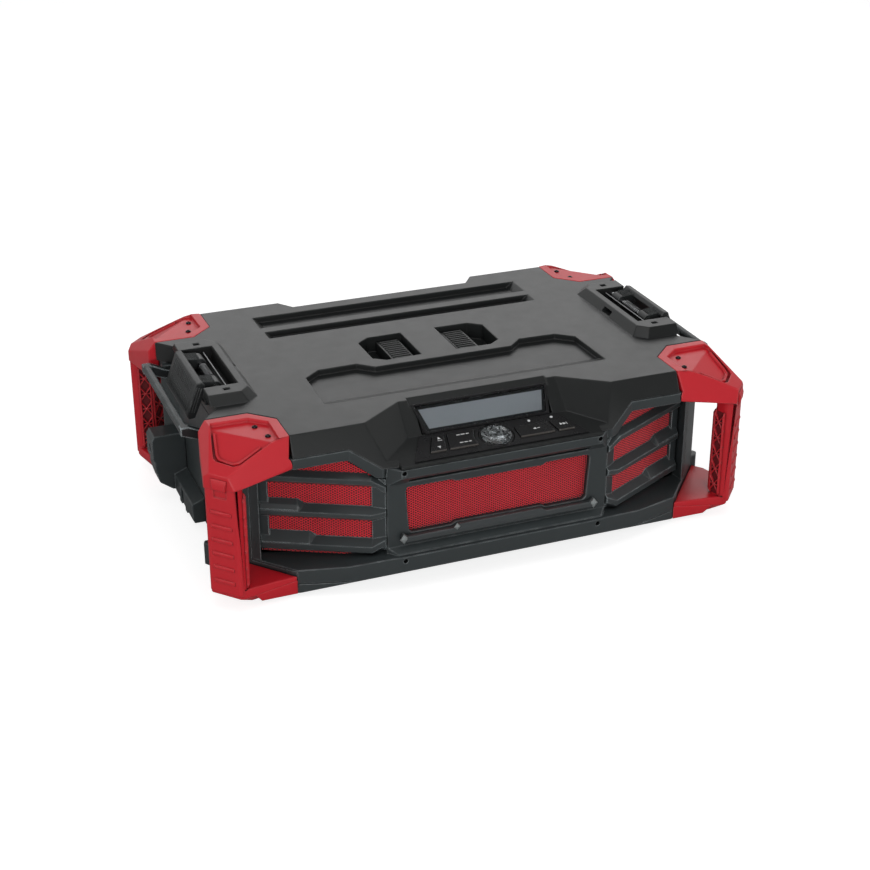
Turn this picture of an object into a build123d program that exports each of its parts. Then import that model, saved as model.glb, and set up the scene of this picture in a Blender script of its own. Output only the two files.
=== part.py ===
"""Stackable jobsite radio: a low, wide case with a grey lid, a dark tub and four red corner bumpers.

The case frame has X to the right, Y to the back and Z up, with Z = 0 on the floor and X = Y = 0 at
the middle of the lid. Every sub-part is exported after one shift along Y, which centres the
overall outline on the origin.
"""
from math import atan2, cos, degrees, radians, sin
import os

from build123d import *

# ---- driving dimensions, in millimetres -----------------------------------------------------------
SHIFT_Y = 9.2              # case frame to exported frame
FOOT_H = 4.0               # rubber feet
SILL_SEAM_Z = 14.0         # joint between tub and front frame, low on the front
SILL_Z = 27.0              # floor of the grille pockets
RIM_Z = 147.0              # joint between tub and lid
LID_Z = 167.0              # flat top of the lid
PAD_Z = 176.0              # top of the latch pads on the lid
NOSE_SEAM_Z = 129.0        # joint between lid and front frame across the nose
GAP = 0.3                  # clearance between shells
WALL = 3.0

HALF_FRONT = 203.0         # half-width where the corner chamfers start
BODY_Y = 175.0             # half-depth of the tub
SIDE_X = 263.0             # half-width of the tub
CORNER_Y = 104.5           # where the corner chamfers end
NOTCH_X = 250.0            # floor of the side recess that holds latch and handle
LID_Y = 164.0              # half-depth of the lid top

NOSE_Y = -199.5            # front of the nose
NOSE_X = 105.0             # half-width of the nose front
COLUMN_X = 116.5           # outer edge of the columns beside the centre panel
COLUMN_Y = -188.0          # front face of the columns
CLOTH_IN = (124.0, -180.0)     # inner end of the side cloth, in plan
CLOTH_OUT = (226.0, -126.5)    # outer end of the side cloth, in plan

CONSOLE_TILT = 11.6        # slope of the key panel, down towards the front
CONSOLE_Y = -176.0
CONSOLE_Z = 137.1
KNOB_R = 17.3
SHAFT_R = 3.0
SHAFT_CLEARANCE = 0.06

LATCH_PIN = (238.0, 170.0)     # X and Z of the latch hinge
LATCH_PIN_R = 2.5
SPRING_R = 4.4             # latch spring, outside
SPRING_L = 31.2
HANDLE_PIN = (259.0, 140.0)    # X and Z of the carry handle's hinge
HANDLE_PIN_R = 3.0
PIN_CLEARANCE = 0.06


# ---- helpers --------------------------------------------------------------------------------------
def mirrored(points):
    """Close a half outline, listed on the right-hand side, with its mirror image in X."""
    return list(points) + [(-x, y) for x, y in reversed(points) if x != 0]


def prism(points, z0, z1):
    """Extrude a plan outline from z0 to z1."""
    return Pos(0, 0, z0) * extrude(make_face(Polyline(*points, close=True)), z1 - z0)


def side_prism(profile, x0, x1):
    """Extrude a (y, z) profile from x0 to x1."""
    wire = Polyline(*[(x0, y, z) for y, z in profile], close=True)
    return extrude(make_face(wire), x1 - x0, dir=(1, 0, 0))


def front_prism(profile, y0, y1):
    """Extrude an (x, z) profile from y0 to y1."""
    wire = Polyline(*[(x, y0, z) for x, z in profile], close=True)
    return extrude(make_face(wire), y1 - y0, dir=(0, 1, 0))


def block(x0, x1, y0, y1, z0, z1):
    """Box between two corners."""
    size = (x1 - x0, y1 - y0, z1 - z0)
    return Pos((x0 + x1) / 2, (y0 + y1) / 2, (z0 + z1) / 2) * Box(*size)


def tapered(lower, z0, upper, z1):
    """Straight-sided solid between two outlines with the same number of corners."""
    faces = [make_face(Polyline(*[(x, y, z) for x, y in points], close=True))
             for points, z in ((lower, z0), (upper, z1))]
    return loft(faces, ruled=True)


def upward_plane(*points):
    """Plane through three points, facing up."""
    a, b, c = [Vector(*p) for p in points]
    normal = (b - a).cross(c - a)
    if normal.Z < 0:
        normal = normal * -1
    return Plane(origin=a, z_dir=normal)


def below(shape, *points):
    """Keep what lies under the plane through three points."""
    return split(shape, bisect_by=upward_plane(*points), keep=Keep.BOTTOM)


def above(shape, *points):
    """Keep what lies over the plane through three points."""
    return split(shape, bisect_by=upward_plane(*points), keep=Keep.TOP)


def flip(shape):
    """Mirror image on the other side of the case."""
    return mirror(shape, about=Plane.YZ)


def flip_back(shape):
    """Mirror image at the back of the case."""
    return mirror(shape, about=Plane.XZ)


def frustum(r0, z0, r1, z1, sides=24):
    """Many-sided cone stump about Z."""
    slope = degrees(atan2(r0 - r1, z1 - z0))
    return Pos(0, 0, z0) * extrude(RegularPolygon(r0, sides), z1 - z0, taper=slope)


def rod(start, end, radius):
    """Round bar between two points."""
    a, b = Vector(*start), Vector(*end)
    plane = Plane(origin=a, z_dir=b - a)
    return plane * extrude(Circle(radius), (b - a).length)


CONSOLE = Plane(
    origin=(0, CONSOLE_Y, CONSOLE_Z),
    x_dir=(1, 0, 0),
    z_dir=(0, -sin(radians(CONSOLE_TILT)), cos(radians(CONSOLE_TILT))),
)

KNOB_HOLE = RegularPolygon(KNOB_R + 0.8, 24)

BODY_HALF = [
    (HALF_FRONT, -BODY_Y), (SIDE_X, -CORNER_Y), (SIDE_X, -102), (NOTCH_X, -82),
    (NOTCH_X, 82), (SIDE_X, 102), (SIDE_X, CORNER_Y), (HALF_FRONT, BODY_Y),
]
CAP_EDGE = [(202.5, -LID_Y), (202.5, -124.0), (225.0, -102.0), (267.0, -102.0)]
SILL_HALF = [(105, -201), (114, -199.5), (155, -189), (HALF_FRONT, -BODY_Y)]
POCKET_X = 236.0           # outer end of the grille pockets
POCKET_Y = -BODY_Y + (POCKET_X - HALF_FRONT) * (BODY_Y - CORNER_Y) / (SIDE_X - HALF_FRONT)


# ---- tub ------------------------------------------------------------------------------------------
def make_base_tub():
    """Deep tub with floor, side and rear walls, open at the front for the speaker front."""
    outline = make_face(Polyline(*mirrored(BODY_HALF), close=True))
    outer = Pos(0, 0, FOOT_H) * extrude(outline, RIM_Z - GAP - FOOT_H)
    inner_outline = offset(outline, -WALL, kind=Kind.INTERSECTION)
    cavity = Pos(0, 0, FOOT_H + WALL) * extrude(inner_outline, RIM_Z)
    lip = prism(mirrored(SILL_HALF + [(HALF_FRONT, -165)]), FOOT_H, SILL_SEAM_Z)
    tub = outer - cavity + above_sill_slope(lip)
    tub -= block(-210, 210, -210, -164.9, SILL_SEAM_Z, 160)
    tub -= block(-POCKET_X, POCKET_X, -210, -127, SILL_Z, 160)
    tub += sill_floor()
    lugs = block(252, 264.5, 84.3, 92, 133, RIM_Z - GAP)
    lugs += flip_back(lugs)
    tub += lugs + flip(lugs)
    x, z = HANDLE_PIN
    for y in (92, -83):
        hole = rod((x, y, z), (x, y - 9, z), HANDLE_PIN_R + PIN_CLEARANCE)
        tub -= hole
        tub -= flip(hole)
    rub_block = prism([(261, -104), (269, -103), (274, -96), (272, -91.5), (256, -91.5)], 9, 33)
    tub += rub_block + flip(rub_block)
    tub -= block(*INLET)
    tub -= battery_bay()
    return tub


INLET = (-150, -118, 160, 176.5, 34, 58)      # space of the mains inlet in the rear wall


def above_sill_slope(shape):
    """Keep what lies above the slope that rises from the floor edge to the nose."""
    plane = Plane(origin=(0, -BODY_Y, FOOT_H), x_dir=(1, 0, 0), z_dir=(0, 17, 26.5))
    return split(shape, bisect_by=plane, keep=Keep.TOP)


def sill_floor():
    """Step behind the sill that carries the front frame's pocket floor."""
    return block(-HALF_FRONT, HALF_FRONT, -164.9, -161.9, FOOT_H, SILL_Z)


def battery_bay():
    """Opening in the rear wall behind the battery door."""
    return block(-75, 75, 165, 180, 32, 118)


# ---- front ----------------------------------------------------------------------------------------
def make_front_frame():
    """Dark front moulding: sill, nose with centre window, brow over the grilles and end walls."""
    sill_plan = mirrored(SILL_HALF + [(POCKET_X, POCKET_Y), (POCKET_X, -124), (112, -165.2)])
    sill = prism(sill_plan, SILL_Z + GAP, 40)
    crest = [(114, 36.4), (155, 30.6), (HALF_FRONT, 29.2), (POCKET_X, 29.2), (POCKET_X, 20)]
    sill &= front_prism(mirrored(crest), -210, -100)
    band = prism(mirrored(SILL_HALF + [(HALF_FRONT, -165.2)]), SILL_SEAM_Z + GAP, SILL_Z + 1)
    sill += above_sill_slope(band)

    nose_plan = mirrored([(NOSE_X, NOSE_Y), (COLUMN_X, -187), (112, -165.2)])
    nose = prism(nose_plan, 30, NOSE_SEAM_Z - GAP)
    front_cut = [(-215, 120), (NOSE_Y, 120), (COLUMN_Y, 109), (COLUMN_Y, 42), (-196, 37.5),
                 (-196, 36.4), (-215, 36.4)]
    nose -= side_prism(front_cut, -130, 130)
    nose -= block(-95, 95, -195, -160, 110, 140)
    nose -= front_prism(WINDOW, -200, -181)
    nose -= block(-86, 86, -182, -160, 64, 100)

    brow_plan = [(112, -186), (120, -189.5), (148, -174.5), (HALF_FRONT, -174.5),
                 (POCKET_X, POCKET_Y), (POCKET_X, -134), (200, -160), (148, -163), (112, -172)]
    brow_side = [(112, 128.7), (120, 129.0), (148, 146.7), (POCKET_X, 146.7), (POCKET_X, 136),
                 (150, 136), (126, 119), (112, 119)]
    brow = prism(brow_plan, 100, 150) & front_prism(brow_side, -200, -120)
    post_plan = [(229, POCKET_Y - 7), (POCKET_X, POCKET_Y), (POCKET_X, -124), (228.5, -124), (228.5, -128)]
    post = prism(post_plan, SILL_Z + GAP, 146.7)
    frame = sill + nose
    for part in (brow, post):
        frame += part
        frame += flip(part)
    for x, y, z in FASCIA_SCREWS:
        hole = Pos(x, y + 4.0, z) * Rot(90, 0, 0) * frustum(SCREW_HEAD_R + 0.3, 0, SCREW_HEAD_R + 0.3, 6, 12)
        frame -= hole
        frame -= flip(hole)
    return frame


FASCIA_SCREWS = [(102.3, NOSE_Y, 125.0), (102.4, -201.0, 31.9)]      # hole mouths, right-hand side
SCREW_HEAD_R = 2.1


WINDOW = mirrored([(46, 101.5), (50, 104), (95, 104), (97, 101), (94, 58), (91, 55), (50, 55), (46, 57.5)])


def make_centre_cloth():
    """Red cloth panel behind the centre window."""
    return front_prism([(x * 0.997, 79.5 + (z - 79.5) * 0.99) for x, z in WINDOW], -183.2, -181)


def make_centre_bezel():
    """Tray-shaped trim under the centre window, stepped up in the middle."""
    outline = mirrored([(44, 56.5), (49, 53.5), (97, 53.5), (101, 57), (103, 53), (96, 44.5)])
    profile = [(COLUMN_Y, 58), (-191.5, 58), (-193.5, 52), (-193.5, 48), (-189.5, 44), (COLUMN_Y, 44)]
    return front_prism(outline, -195, COLUMN_Y) & side_prism(profile, -110, 110)


GRILLE = Plane(
    origin=(*CLOTH_IN, 0),
    x_dir=(CLOTH_OUT[0] - CLOTH_IN[0], CLOTH_OUT[1] - CLOTH_IN[1], 0),
    z_dir=(0, 0, 1),
)
GRILLE_L = 115.2           # length of the side grille along its face
SLAT_FACE = 8.0            # how far the slats' front faces stand out from the cloth
# each slat: heights of its back edge (low, high), of its front face (low, high), and how far its
# inner end rises towards the column
SLATS = [(106, 121, 111.5, 116.5, -8.0), (69.5, 86, 75, 79.5, 3.0), (33.5, 51.5, 38.5, 44.5, 8.0)]
# raised ledge on the outer part of a slat: start along the grille, back height, front height, foot
LEDGES = [(72, 90.5, 85.5, 80.5), (61, 56, 49.3, 45.2)]


def grille_bar(profile, s0, s1):
    """Extrude an (outward, z) profile along the side grille's face."""
    wire = Polyline(*[(s0, -n, z) for n, z in profile], close=True)
    return GRILLE * extrude(make_face(wire), s1 - s0, dir=(1, 0, 0))


def grille_taper(profile0, s0, profile1, s1):
    """Straight-sided solid between two (outward, z) profiles along the side grille's face."""
    faces = [make_face(Polyline(*[(s, -n, z) for n, z in profile], close=True))
             for profile, s in ((profile0, s0), (profile1, s1))]
    return GRILLE * loft(faces, ruled=True)


def make_grille():
    """Right-hand grille: three bevelled slats that fan in to the column, between two posts."""
    grille = prism([(COLUMN_X + 0.2, -186.8), (128.4, -178.8), (116.9, -175)], 40, 116)
    grille += grille_bar([(0.2, 36), (0.2, 134), (4, 132), (4, 36)], 104, GRILLE_L)
    for low, high, front_low, front_high, rise in SLATS:
        profile = [(0.2, low), (0.2, high), (SLAT_FACE, front_high), (SLAT_FACE, front_low)]
        grille += grille_bar(profile, 4, 112)
        end = [(-2, low + rise), (-2, high + rise), (5.5, front_high + rise), (5.5, front_low + rise)]
        grille += grille_taper(profile, 4, end, -9.8)
    for start, back, front, foot in LEDGES:
        ledge = [(0.2, foot), (0.2, back), (5, front), (7.5, foot)]
        low_end = [(0.2, foot - 2), (0.2, back - 4), (5, front - 4.5), (7.5, foot - 2)]
        grille += grille_bar(ledge, start + 4, 112)
        grille += grille_taper(ledge, start + 4, low_end, start - 2)
    column = prism([(100, -190), (COLUMN_X + 0.2, -190), (COLUMN_X + 0.2, -187), (112.3, -165),
                    (100, -165)], 20, 140)
    brow_root = block(110, 131, -195, -170, 118.8, 125)
    sill_root = block(110, 137, -195, -170, 30, 35.1)
    return grille - column - brow_root - sill_root


def make_side_cloth():
    """Right-hand speaker cloth in its frame, behind the grille slats."""
    outline = [(4, 37.5), (30, 32.5), (113, 31.5), (113, 135), (31, 135), (4, 118.2)]
    wire = Polyline(*[(along, 0, z) for along, z in outline], close=True)
    return GRILLE * extrude(make_face(wire), 2, dir=(0, 1, 0))


# ---- corner bumpers -------------------------------------------------------------------------------
FOOT_PLATE_Z = 23.0            # top of the foot plate, under the hand hole
CREST = [(218.0, -166.0), (266.0, -117.0)]     # where the cap's flat top turns down
CORNER = [(285.0, -160.0), (262.0, -186.0)]    # outermost corner of cap and bar, in plan
CORNER_Z = 143.0               # where the cap's slope meets its corner face
# half of the bar's section: along the corner face, inward from it
BAR_HALF = [(18, 0), (18, 10), (11, 21)]
CAP_SCREWS = [(225.0, -127.5), (219.0, -150.8)]
POCKET_DEPTH = 4.0


def corner_plane(inset, z):
    """Frame on the bumper's corner face, moved in by inset, with X along the face and Z up."""
    (x0, y0), (x1, y1) = CORNER
    along = Vector(x0 - x1, y0 - y1, 0).normalized()
    origin = Vector((x0 + x1) / 2 - along.Y * inset, (y0 + y1) / 2 + along.X * inset, z)
    return Plane(origin=origin, x_dir=along, z_dir=(0, 0, 1))


def cap_slope(shape, drop):
    """Cut a shape by the cap's flat top and by its slope, both lowered by drop."""
    top = LID_Z - drop
    shape = below(shape, (0, 0, top), (10, 0, top), (0, 10, top))
    corner = corner_plane(0, CORNER_Z - drop * 1.2).origin
    return below(shape, (*CREST[0], top), (*CREST[1], top), tuple(corner))


def make_bumper():
    """Front right bumper: pocketed cap on the lid corner, hand bar and foot plate."""
    outer = [(274, -104), *CORNER, (208, -176.5)]
    wall = [(HALF_FRONT + 0.2, -BODY_Y - 0.2), (SIDE_X + 0.2, -CORNER_Y - 0.2)]
    under = Plane(origin=(209.3, -175, 136.7), z_dir=(0.135, 0, 1))
    cap = prism(CAP_EDGE + outer, RIM_Z, LID_Z)
    cap += split(prism(wall + outer, 115, RIM_Z), bisect_by=under, keep=Keep.TOP)
    cap = cap_slope(cap, 0)
    cap = below(cap, (202.5, -165, LID_Z), (208, -176.5, 140), (*CORNER[1], 128))
    cap = below(cap, (267, -102, LID_Z), (266, -117, LID_Z), (281, -160, 143))
    rim = [(212.5, -165.5), (211.6, -128), (228.3, -113.5), (264, -112.5), (272, -151), (271, -156.5),
           (258.5, -171.5), (253, -173.5)]
    cap -= prism(rim, 110, 180) - cap_slope(prism(rim, 100, LID_Z), POCKET_DEPTH)
    section = Polyline(*BAR_HALF, *[(-x, y) for x, y in reversed(BAR_HALF)], close=True)
    face = chamfer(make_face(section).vertices(), 2)
    bar = corner_plane(0.4, 18) * extrude(face, 112)
    top_plate = wall + [(272, -116), (283, -158), (261, -183), (246, -180)]
    plate = prism(top_plate, FOOT_H, FOOT_PLATE_Z)
    plate = above(plate, (272, -116, 14), (283, -158, 14), (272, -146, FOOT_H))
    plate = above(plate, (283, -158, 14), (261, -183, 14), (264, -152, FOOT_H))
    plate = above(plate, (261, -183, 14), (246, -180, 14), (252, -172, FOOT_H))
    thumb_rest = corner_plane(0, 119) * block(-7, 7, -2, 1.8, 0, 9)
    return cap + bar + plate - thumb_rest


def make_cap_screws(side):
    """Two socket screws in each bumper pocket, at the front (-1) or the back (1)."""
    head = frustum(3.1, 0, 3.1, 1.7, 12) - Pos(0, 0, 0.7) * extrude(RegularPolygon(1.6, 6), 2)
    places = [(sx * x, -side * y) for x, y in CAP_SCREWS for sx in (1, -1)]
    return Compound(children=[Pos(x, y, LID_Z - POCKET_DEPTH) * head for x, y in places])


# ---- lid ------------------------------------------------------------------------------------------
LID_HALF = [
    (202.5, -174.0), (202.5, -124.0), (225.0, -102.0), (267.0, -102.0), (NOTCH_X, -82.0),
    (NOTCH_X, 82.0), (267.0, 102.0), (225.0, 102.0), (202.5, 124.0), (202.5, 174.0),
]
PLATE_Z = 157.0            # underside of the lid's top plate
DISPLAY = Plane(origin=(0, -146.65, 152.05), x_dir=(1, 0, 0), z_dir=(0, -0.6905, 0.7235))
DISPLAY_HALF = (70.0, 64.2, 15.1)      # half-widths at top and bottom, half-height
WELL = [(19.5, -29), (57, -30), (69.5, -21), (70, 22), (57, 32.5), (19.5, 33)]
WELL_Z = 150.0


def make_lid():
    """Grey top shell with skirt, recesses, wells, latch pads and the console round the display."""
    lid = prism(mirrored(LID_HALF), RIM_Z, LID_Z)
    skirt = [(-174, RIM_Z), (-LID_Y, LID_Z), (LID_Y, LID_Z), (174, RIM_Z)]
    lid &= side_prism(skirt, -300, 300)
    cavity_plan = mirrored([
        (60, -118), (126, -157), (150, -166), (199, -166), (199.5, -121), (223, -99), (261, -99),
        (247, -81), (247, 81), (261, 99), (223, 99), (199.5, 121), (199, 162), (130, 162), (98, 142),
    ])
    cavity = prism(cavity_plan, RIM_Z - 1, PLATE_Z)
    for sign in (-1, 1):
        cavity -= block(sign * 45 - 29, sign * 45 + 29, -33.5, 36.5, 140, 160)
    lid -= cavity
    lid += nose_shell()
    lid -= console_opening()
    lid -= block(-98, 98, -196, -155, 120, 150) & under_console(3)
    notch = [(-126, 180), (-102, 146.5), (102, 146.5), (126, 180)]
    lid -= prism(notch, RIM_Z + 5, 180)
    lid -= step_recess()
    for y0, y1, half in ((99, 130, 154), (68.5, 86, 153)):
        upper = [(-half, y0), (half, y0), (half, y1), (-half, y1)]
        lower = [(-half + 8, y0 + 3), (half - 8, y0 + 3), (half - 8, y1), (-half + 8, y1)]
        lid -= tapered(lower, LID_Z - 6.5, upper, LID_Z)
    well = prism(WELL, WELL_Z, 180)
    lid -= well
    lid -= flip(well)
    pad = latch_pad()
    lid += pad
    lid += flip(pad)
    slot = pad_openings()
    lid -= slot
    lid -= flip(slot)
    lid -= CONSOLE * (Pos(0, KNOB_Y, -8) * extrude(KNOB_HOLE, 20))
    for outline in KEYS.values():
        hole = offset(make_face(Polyline(*outline, close=True)), 0.4, kind=Kind.INTERSECTION)
        lid -= CONSOLE * (Pos(0, 0, -8) * extrude(hole, 12))
    lid -= DISPLAY * (Pos(0, 0, -10) * Box(138, 31, 12, align=(Align.CENTER, Align.CENTER, Align.MIN)))
    return lid


def nose_shell():
    """Console block in front of the lid, above the seam with the front frame."""
    centre = prism(mirrored([(NOSE_X, NOSE_Y), (NOSE_X, -140)]), NOSE_SEAM_Z, 160)
    wing_plan = [(NOSE_X, NOSE_Y), (120, -190), (148, -174), (148, -140), (NOSE_X, -140)]
    wing = prism(wing_plan, NOSE_SEAM_Z, LID_Z)
    wing &= front_prism([(NOSE_X, 129), (120, 129), (148, 147), (148, 167), (NOSE_X, 167)], -210, -100)
    wing = below(wing, (129, -LID_Y, LID_Z), (148, -174, RIM_Z), (120, -190, NOSE_SEAM_Z + 0.5))
    return centre + wing + flip(wing)


def console_opening():
    """Space over the key panel: in front of the display and between the two cheeks."""
    space = block(-135, 135, -215, -120, 120, 180)
    space = split(space, bisect_by=CONSOLE, keep=Keep.TOP)
    space = split(space, bisect_by=DISPLAY, keep=Keep.TOP)
    cheek = Plane(origin=(129, -LID_Y, LID_Z), z_dir=(-1568, -2165, 2227))
    space = split(space, bisect_by=cheek, keep=Keep.TOP)
    cheek = Plane(origin=(-129, -LID_Y, LID_Z), z_dir=(1568, -2165, 2227))
    space = split(space, bisect_by=cheek, keep=Keep.TOP)
    brow = side_prism([(-125.5, LID_Z), (-137, 161.3), (-137, 180), (-125.5, 180)], -73.5, 73.5)
    return space + brow


def under_console(depth):
    """Everything lower than the key panel's seat by more than depth."""
    slab = block(-150, 150, -230, -120, 60, 180)
    return split(slab, bisect_by=CONSOLE.offset(-depth), keep=Keep.BOTTOM)


def step_recess():
    """Shallow step in the middle of the lid, ramping back up towards the front."""
    plan = mirrored([(150, -112), (148, -44), (131, -30), (90, -29), (75, -43)])
    side = [(-112, LID_Z), (-94, LID_Z - 6), (-20, LID_Z - 6), (-20, 180), (-112, 180)]
    return prism(plan, 150, 180) & side_prism(side, -160, 160)


def latch_pad():
    """Raised pad that frames the right-hand latch."""
    base = [(204.5, -67), (215.9, -79), (254, -79), (254, 79), (215.9, 79), (204.5, 67)]
    top = [(212, -60), (221.5, -70), (254, -70), (254, 70), (221.5, 70), (212, 60)]
    return tapered(base, LID_Z, top, PAD_Z) + block(247, 254, -56, 56, 160, LID_Z)


def pad_openings():
    """Latch opening, pin holes, drain slot and the two square holes of the right-hand pad."""
    cut = block(219, 260, -50, 50, 160.5, 190)
    pin = rod((LATCH_PIN[0], -56, LATCH_PIN[1]), (LATCH_PIN[0], 56, LATCH_PIN[1]), LATCH_PIN_R)
    cut += pin
    cut += block(203, 219, -9, 9, 168, 172.5)
    for y in (-60, 60):
        cut += block(230, 236, y - 2.5, y + 2.5, 171, 180)
    return cut


# ---- latches --------------------------------------------------------------------------------------
def make_latch_lever():
    """Right-hand latch lever: two hinge arms and a flanged grip plate over the lid's edge."""
    plate = front_prism([(250, 175), (253, 179), (258.5, 178), (270.5, 146), (268.5, 142), (264.5, 143),
                         (255, 167)], -40, 40)
    flange = front_prism([(250, 175), (253, 179), (258.5, 178), (270.5, 146), (268.5, 142), (262, 142.5),
                          (254.5, 160)], 40, 44)
    arm = front_prism([(236, 165.5), (238, 164.6), (256, 167), (256, 178), (250, 177), (238, 175.5),
                       (235, 174)], 22, 38)
    lever = plate + flange + flip_back(flange) + arm + flip_back(arm)
    for y in (22, -38):
        lever += rod((LATCH_PIN[0], y, LATCH_PIN[1]), (LATCH_PIN[0], y + 16, LATCH_PIN[1]), 5.6)
    bore = rod((LATCH_PIN[0], -60, LATCH_PIN[1]), (LATCH_PIN[0], 60, LATCH_PIN[1]),
               LATCH_PIN_R + PIN_CLEARANCE)
    lever -= bore
    return lever


def make_latch_pin():
    """Steel hinge pin of the right-hand latch."""
    return rod((LATCH_PIN[0], -56, LATCH_PIN[1]), (LATCH_PIN[0], 56, LATCH_PIN[1]), LATCH_PIN_R)


def make_latch_spring():
    """Torsion spring on the middle of the right-hand latch pin, as a sleeve of its outside size."""
    x, z = LATCH_PIN
    ring = RegularPolygon(SPRING_R, 24) - RegularPolygon(LATCH_PIN_R + 0.2, 24)
    return Pos(x, SPRING_L / 2, z) * Rot(90, 0, 0) * extrude(ring, SPRING_L)


# ---- carry handles --------------------------------------------------------------------------------
def make_carry_handle():
    """Right-hand swing handle: cranked arms, a long bar and trunnions turning in the tub's lugs."""
    arm = front_prism([(255, 136), (263, 136), (286, 144.5), (286, 153), (278, 153), (262, 145.5),
                       (255, 144)], 76, 84)
    bar = side_bar()
    pin = rod((HANDLE_PIN[0], 83, HANDLE_PIN[1]), (HANDLE_PIN[0], 91, HANDLE_PIN[1]), HANDLE_PIN_R)
    return bar + arm + flip_back(arm) + pin + flip_back(pin)


def side_bar():
    """Grip bar of the carry handle, chamfered along its length."""
    outline = [(278, 146), (280, 144), (284, 144), (286, 146), (286, 151), (284, 153), (280, 153),
               (278, 151)]
    return front_prism(outline, -84, 84)


# ---- stacking brackets ----------------------------------------------------------------------------
def make_stacking_bracket():
    """Right-hand bracket low on the side, with a bellied block and two hook legs for the case below."""
    body = front_prism([(NOTCH_X, 9.5), (267, 13.4), (280, 23), (284, 38), (284, 47), (286, 50), (286, 72),
                        (283, 77), (NOTCH_X, 77)], 64, 90)
    body &= prism([(NOTCH_X, 60), (290, 60), (290, 92), (257.8, 92), (NOTCH_X, 81.7)], 0, 100)
    web = front_prism([(NOTCH_X, 8), (262, 8), (264, 12), (264, 30), (NOTCH_X, 36)], -10, 64)
    web -= block(255, 270, 30, 42, 0, 26)
    leg = block(251, 263, 44, 52, 4.6, 10)
    leg += block(251, 263, 21, 28, 4.6, 10)
    bore = rod((300, 77, 60), (270, 77, 60), 5)
    return body + web + leg - bore


# ---- console --------------------------------------------------------------------------------------
KEYS = {
    "key_far_left": [(-72, -12), (-55, -12), (-49.5, 11), (-62, 11)],
    "key_left": [(-52, -12), (-22, -12), (-22, 0), (-18, 11.5), (-46.5, 11.5)],
    "key_right": [(22, -12), (59, -12), (55.5, 5), (21.5, 5)],
    "key_far_right": [(62.5, -12), (80, -12), (74, 5), (59, 5)],
}
KNOB_Y = -2.0


def make_control_panel():
    """Black panel with openings for the keys, the knob and the two indicator lights."""
    outline = [(-91, -20.9), (91, -20.9), (73, 16.4), (-73, 16.4)]
    plate = extrude(make_face(Polyline(*outline, close=True)), 1.2)
    plate -= Pos(0, KNOB_Y, -1) * extrude(KNOB_HOLE, 5)
    for outline in KEYS.values():
        hole = offset(make_face(Polyline(*outline, close=True)), 0.4, kind=Kind.INTERSECTION)
        plate -= Pos(0, 0, -1) * extrude(hole, 5)
    for x in (40, 64):
        plate -= Pos(x, 11, -1) * extrude(Circle(1.6), 5)
    return CONSOLE * plate


def make_key(outline):
    """Key cap with a stem that reaches the switch under the panel."""
    cap = Pos(0, 0, -0.6) * extrude(make_face(Polyline(*outline, close=True)), 3.2)
    cap = chamfer(cap.faces().sort_by(Axis.Z)[-1].edges(), 0.7)
    xs = [x for x, _ in outline]
    middle = (min(xs) + max(xs)) / 2
    stem = Pos(middle, -4, -3) * extrude(Circle(2), 3)
    return CONSOLE * (cap + stem)


def make_knob():
    """Domed tuning knob with grip notches round its edge and its shaft."""
    cap = frustum(KNOB_R, -2.4, KNOB_R, 1.6) + frustum(KNOB_R, 1.6, KNOB_R - 4, 3.5)
    cap += frustum(KNOB_R - 4, 3.5, KNOB_R - 10, 4.2)
    notch = Pos(KNOB_R + 0.8, 0, -3) * extrude(RegularPolygon(2, 3, rotation=180), 8)
    for turn in range(12):
        cap -= Rot(0, 0, 30 * turn + 7.5) * notch
    shaft = Pos(0, 0, -12) * extrude(Circle(SHAFT_R), 10)
    return CONSOLE * (Pos(0, KNOB_Y, 0) * (cap + shaft))


def make_encoder():
    """Rotary encoder under the control board, with the bore for the knob's shaft."""
    body = Pos(0, 0, -14) * Box(15, 13, 7.8, align=(Align.CENTER, Align.CENTER, Align.MIN))
    body -= Pos(0, 0, -13) * extrude(Circle(SHAFT_R + SHAFT_CLEARANCE), 10)
    return CONSOLE * (Pos(0, KNOB_Y, 0) * body)


def make_control_board():
    """Circuit board under the key panel."""
    board = Pos(0, 0, -6.2) * extrude(Rectangle(170, 24), 1.6)
    board -= Pos(0, KNOB_Y, -7) * extrude(Circle(SHAFT_R + 1.5), 5)
    return CONSOLE * board


def make_indicator_lights():
    """Two small light pipes behind the right-hand keys."""
    lights = [CONSOLE * (Pos(x, 11, 0) * frustum(1.5, 0, 1.5, 1.7, 12)) for x in (40, 64)]
    return Compound(children=lights)


def display_outline(grow):
    """Trapezoid of the display, grown on all sides."""
    top, bottom, half = DISPLAY_HALF
    return [(-bottom - grow, -half - grow), (bottom + grow, -half - grow),
            (top + grow, half + grow), (-top - grow, half + grow)]


def make_display_bezel():
    """Black frame round the display."""
    ring = extrude(make_face(Polyline(*display_outline(1.2), close=True)), 1.2)
    ring -= Pos(0, 0, -1) * extrude(make_face(Polyline(*display_outline(-1.2), close=True)), 5)
    return DISPLAY * ring


def make_display_glass():
    """Clear window over the liquid crystal module."""
    face = make_face(Polyline(*display_outline(-1.4), close=True))
    return DISPLAY * (Pos(0, 0, -1.8) * extrude(face, 2.4))


def make_lcd_module():
    """Liquid crystal module in the lid's pocket."""
    return DISPLAY * (Pos(0, 0, -9.5) * Box(134, 27, 7.6, align=(Align.CENTER, Align.CENTER, Align.MIN)))


# ---- lid fittings ---------------------------------------------------------------------------------
def make_catch_plate():
    """Ribbed catch plate in the right-hand well of the lid."""
    plate = prism([(24, -26), (48, -26), (48, 29), (24, 29)], WELL_Z, LID_Z - 5)
    for y in range(-22, 28, 5):
        plate += block(26, 46, y, y + 2, LID_Z - 5, LID_Z - 3.6)
    return plate


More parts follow.
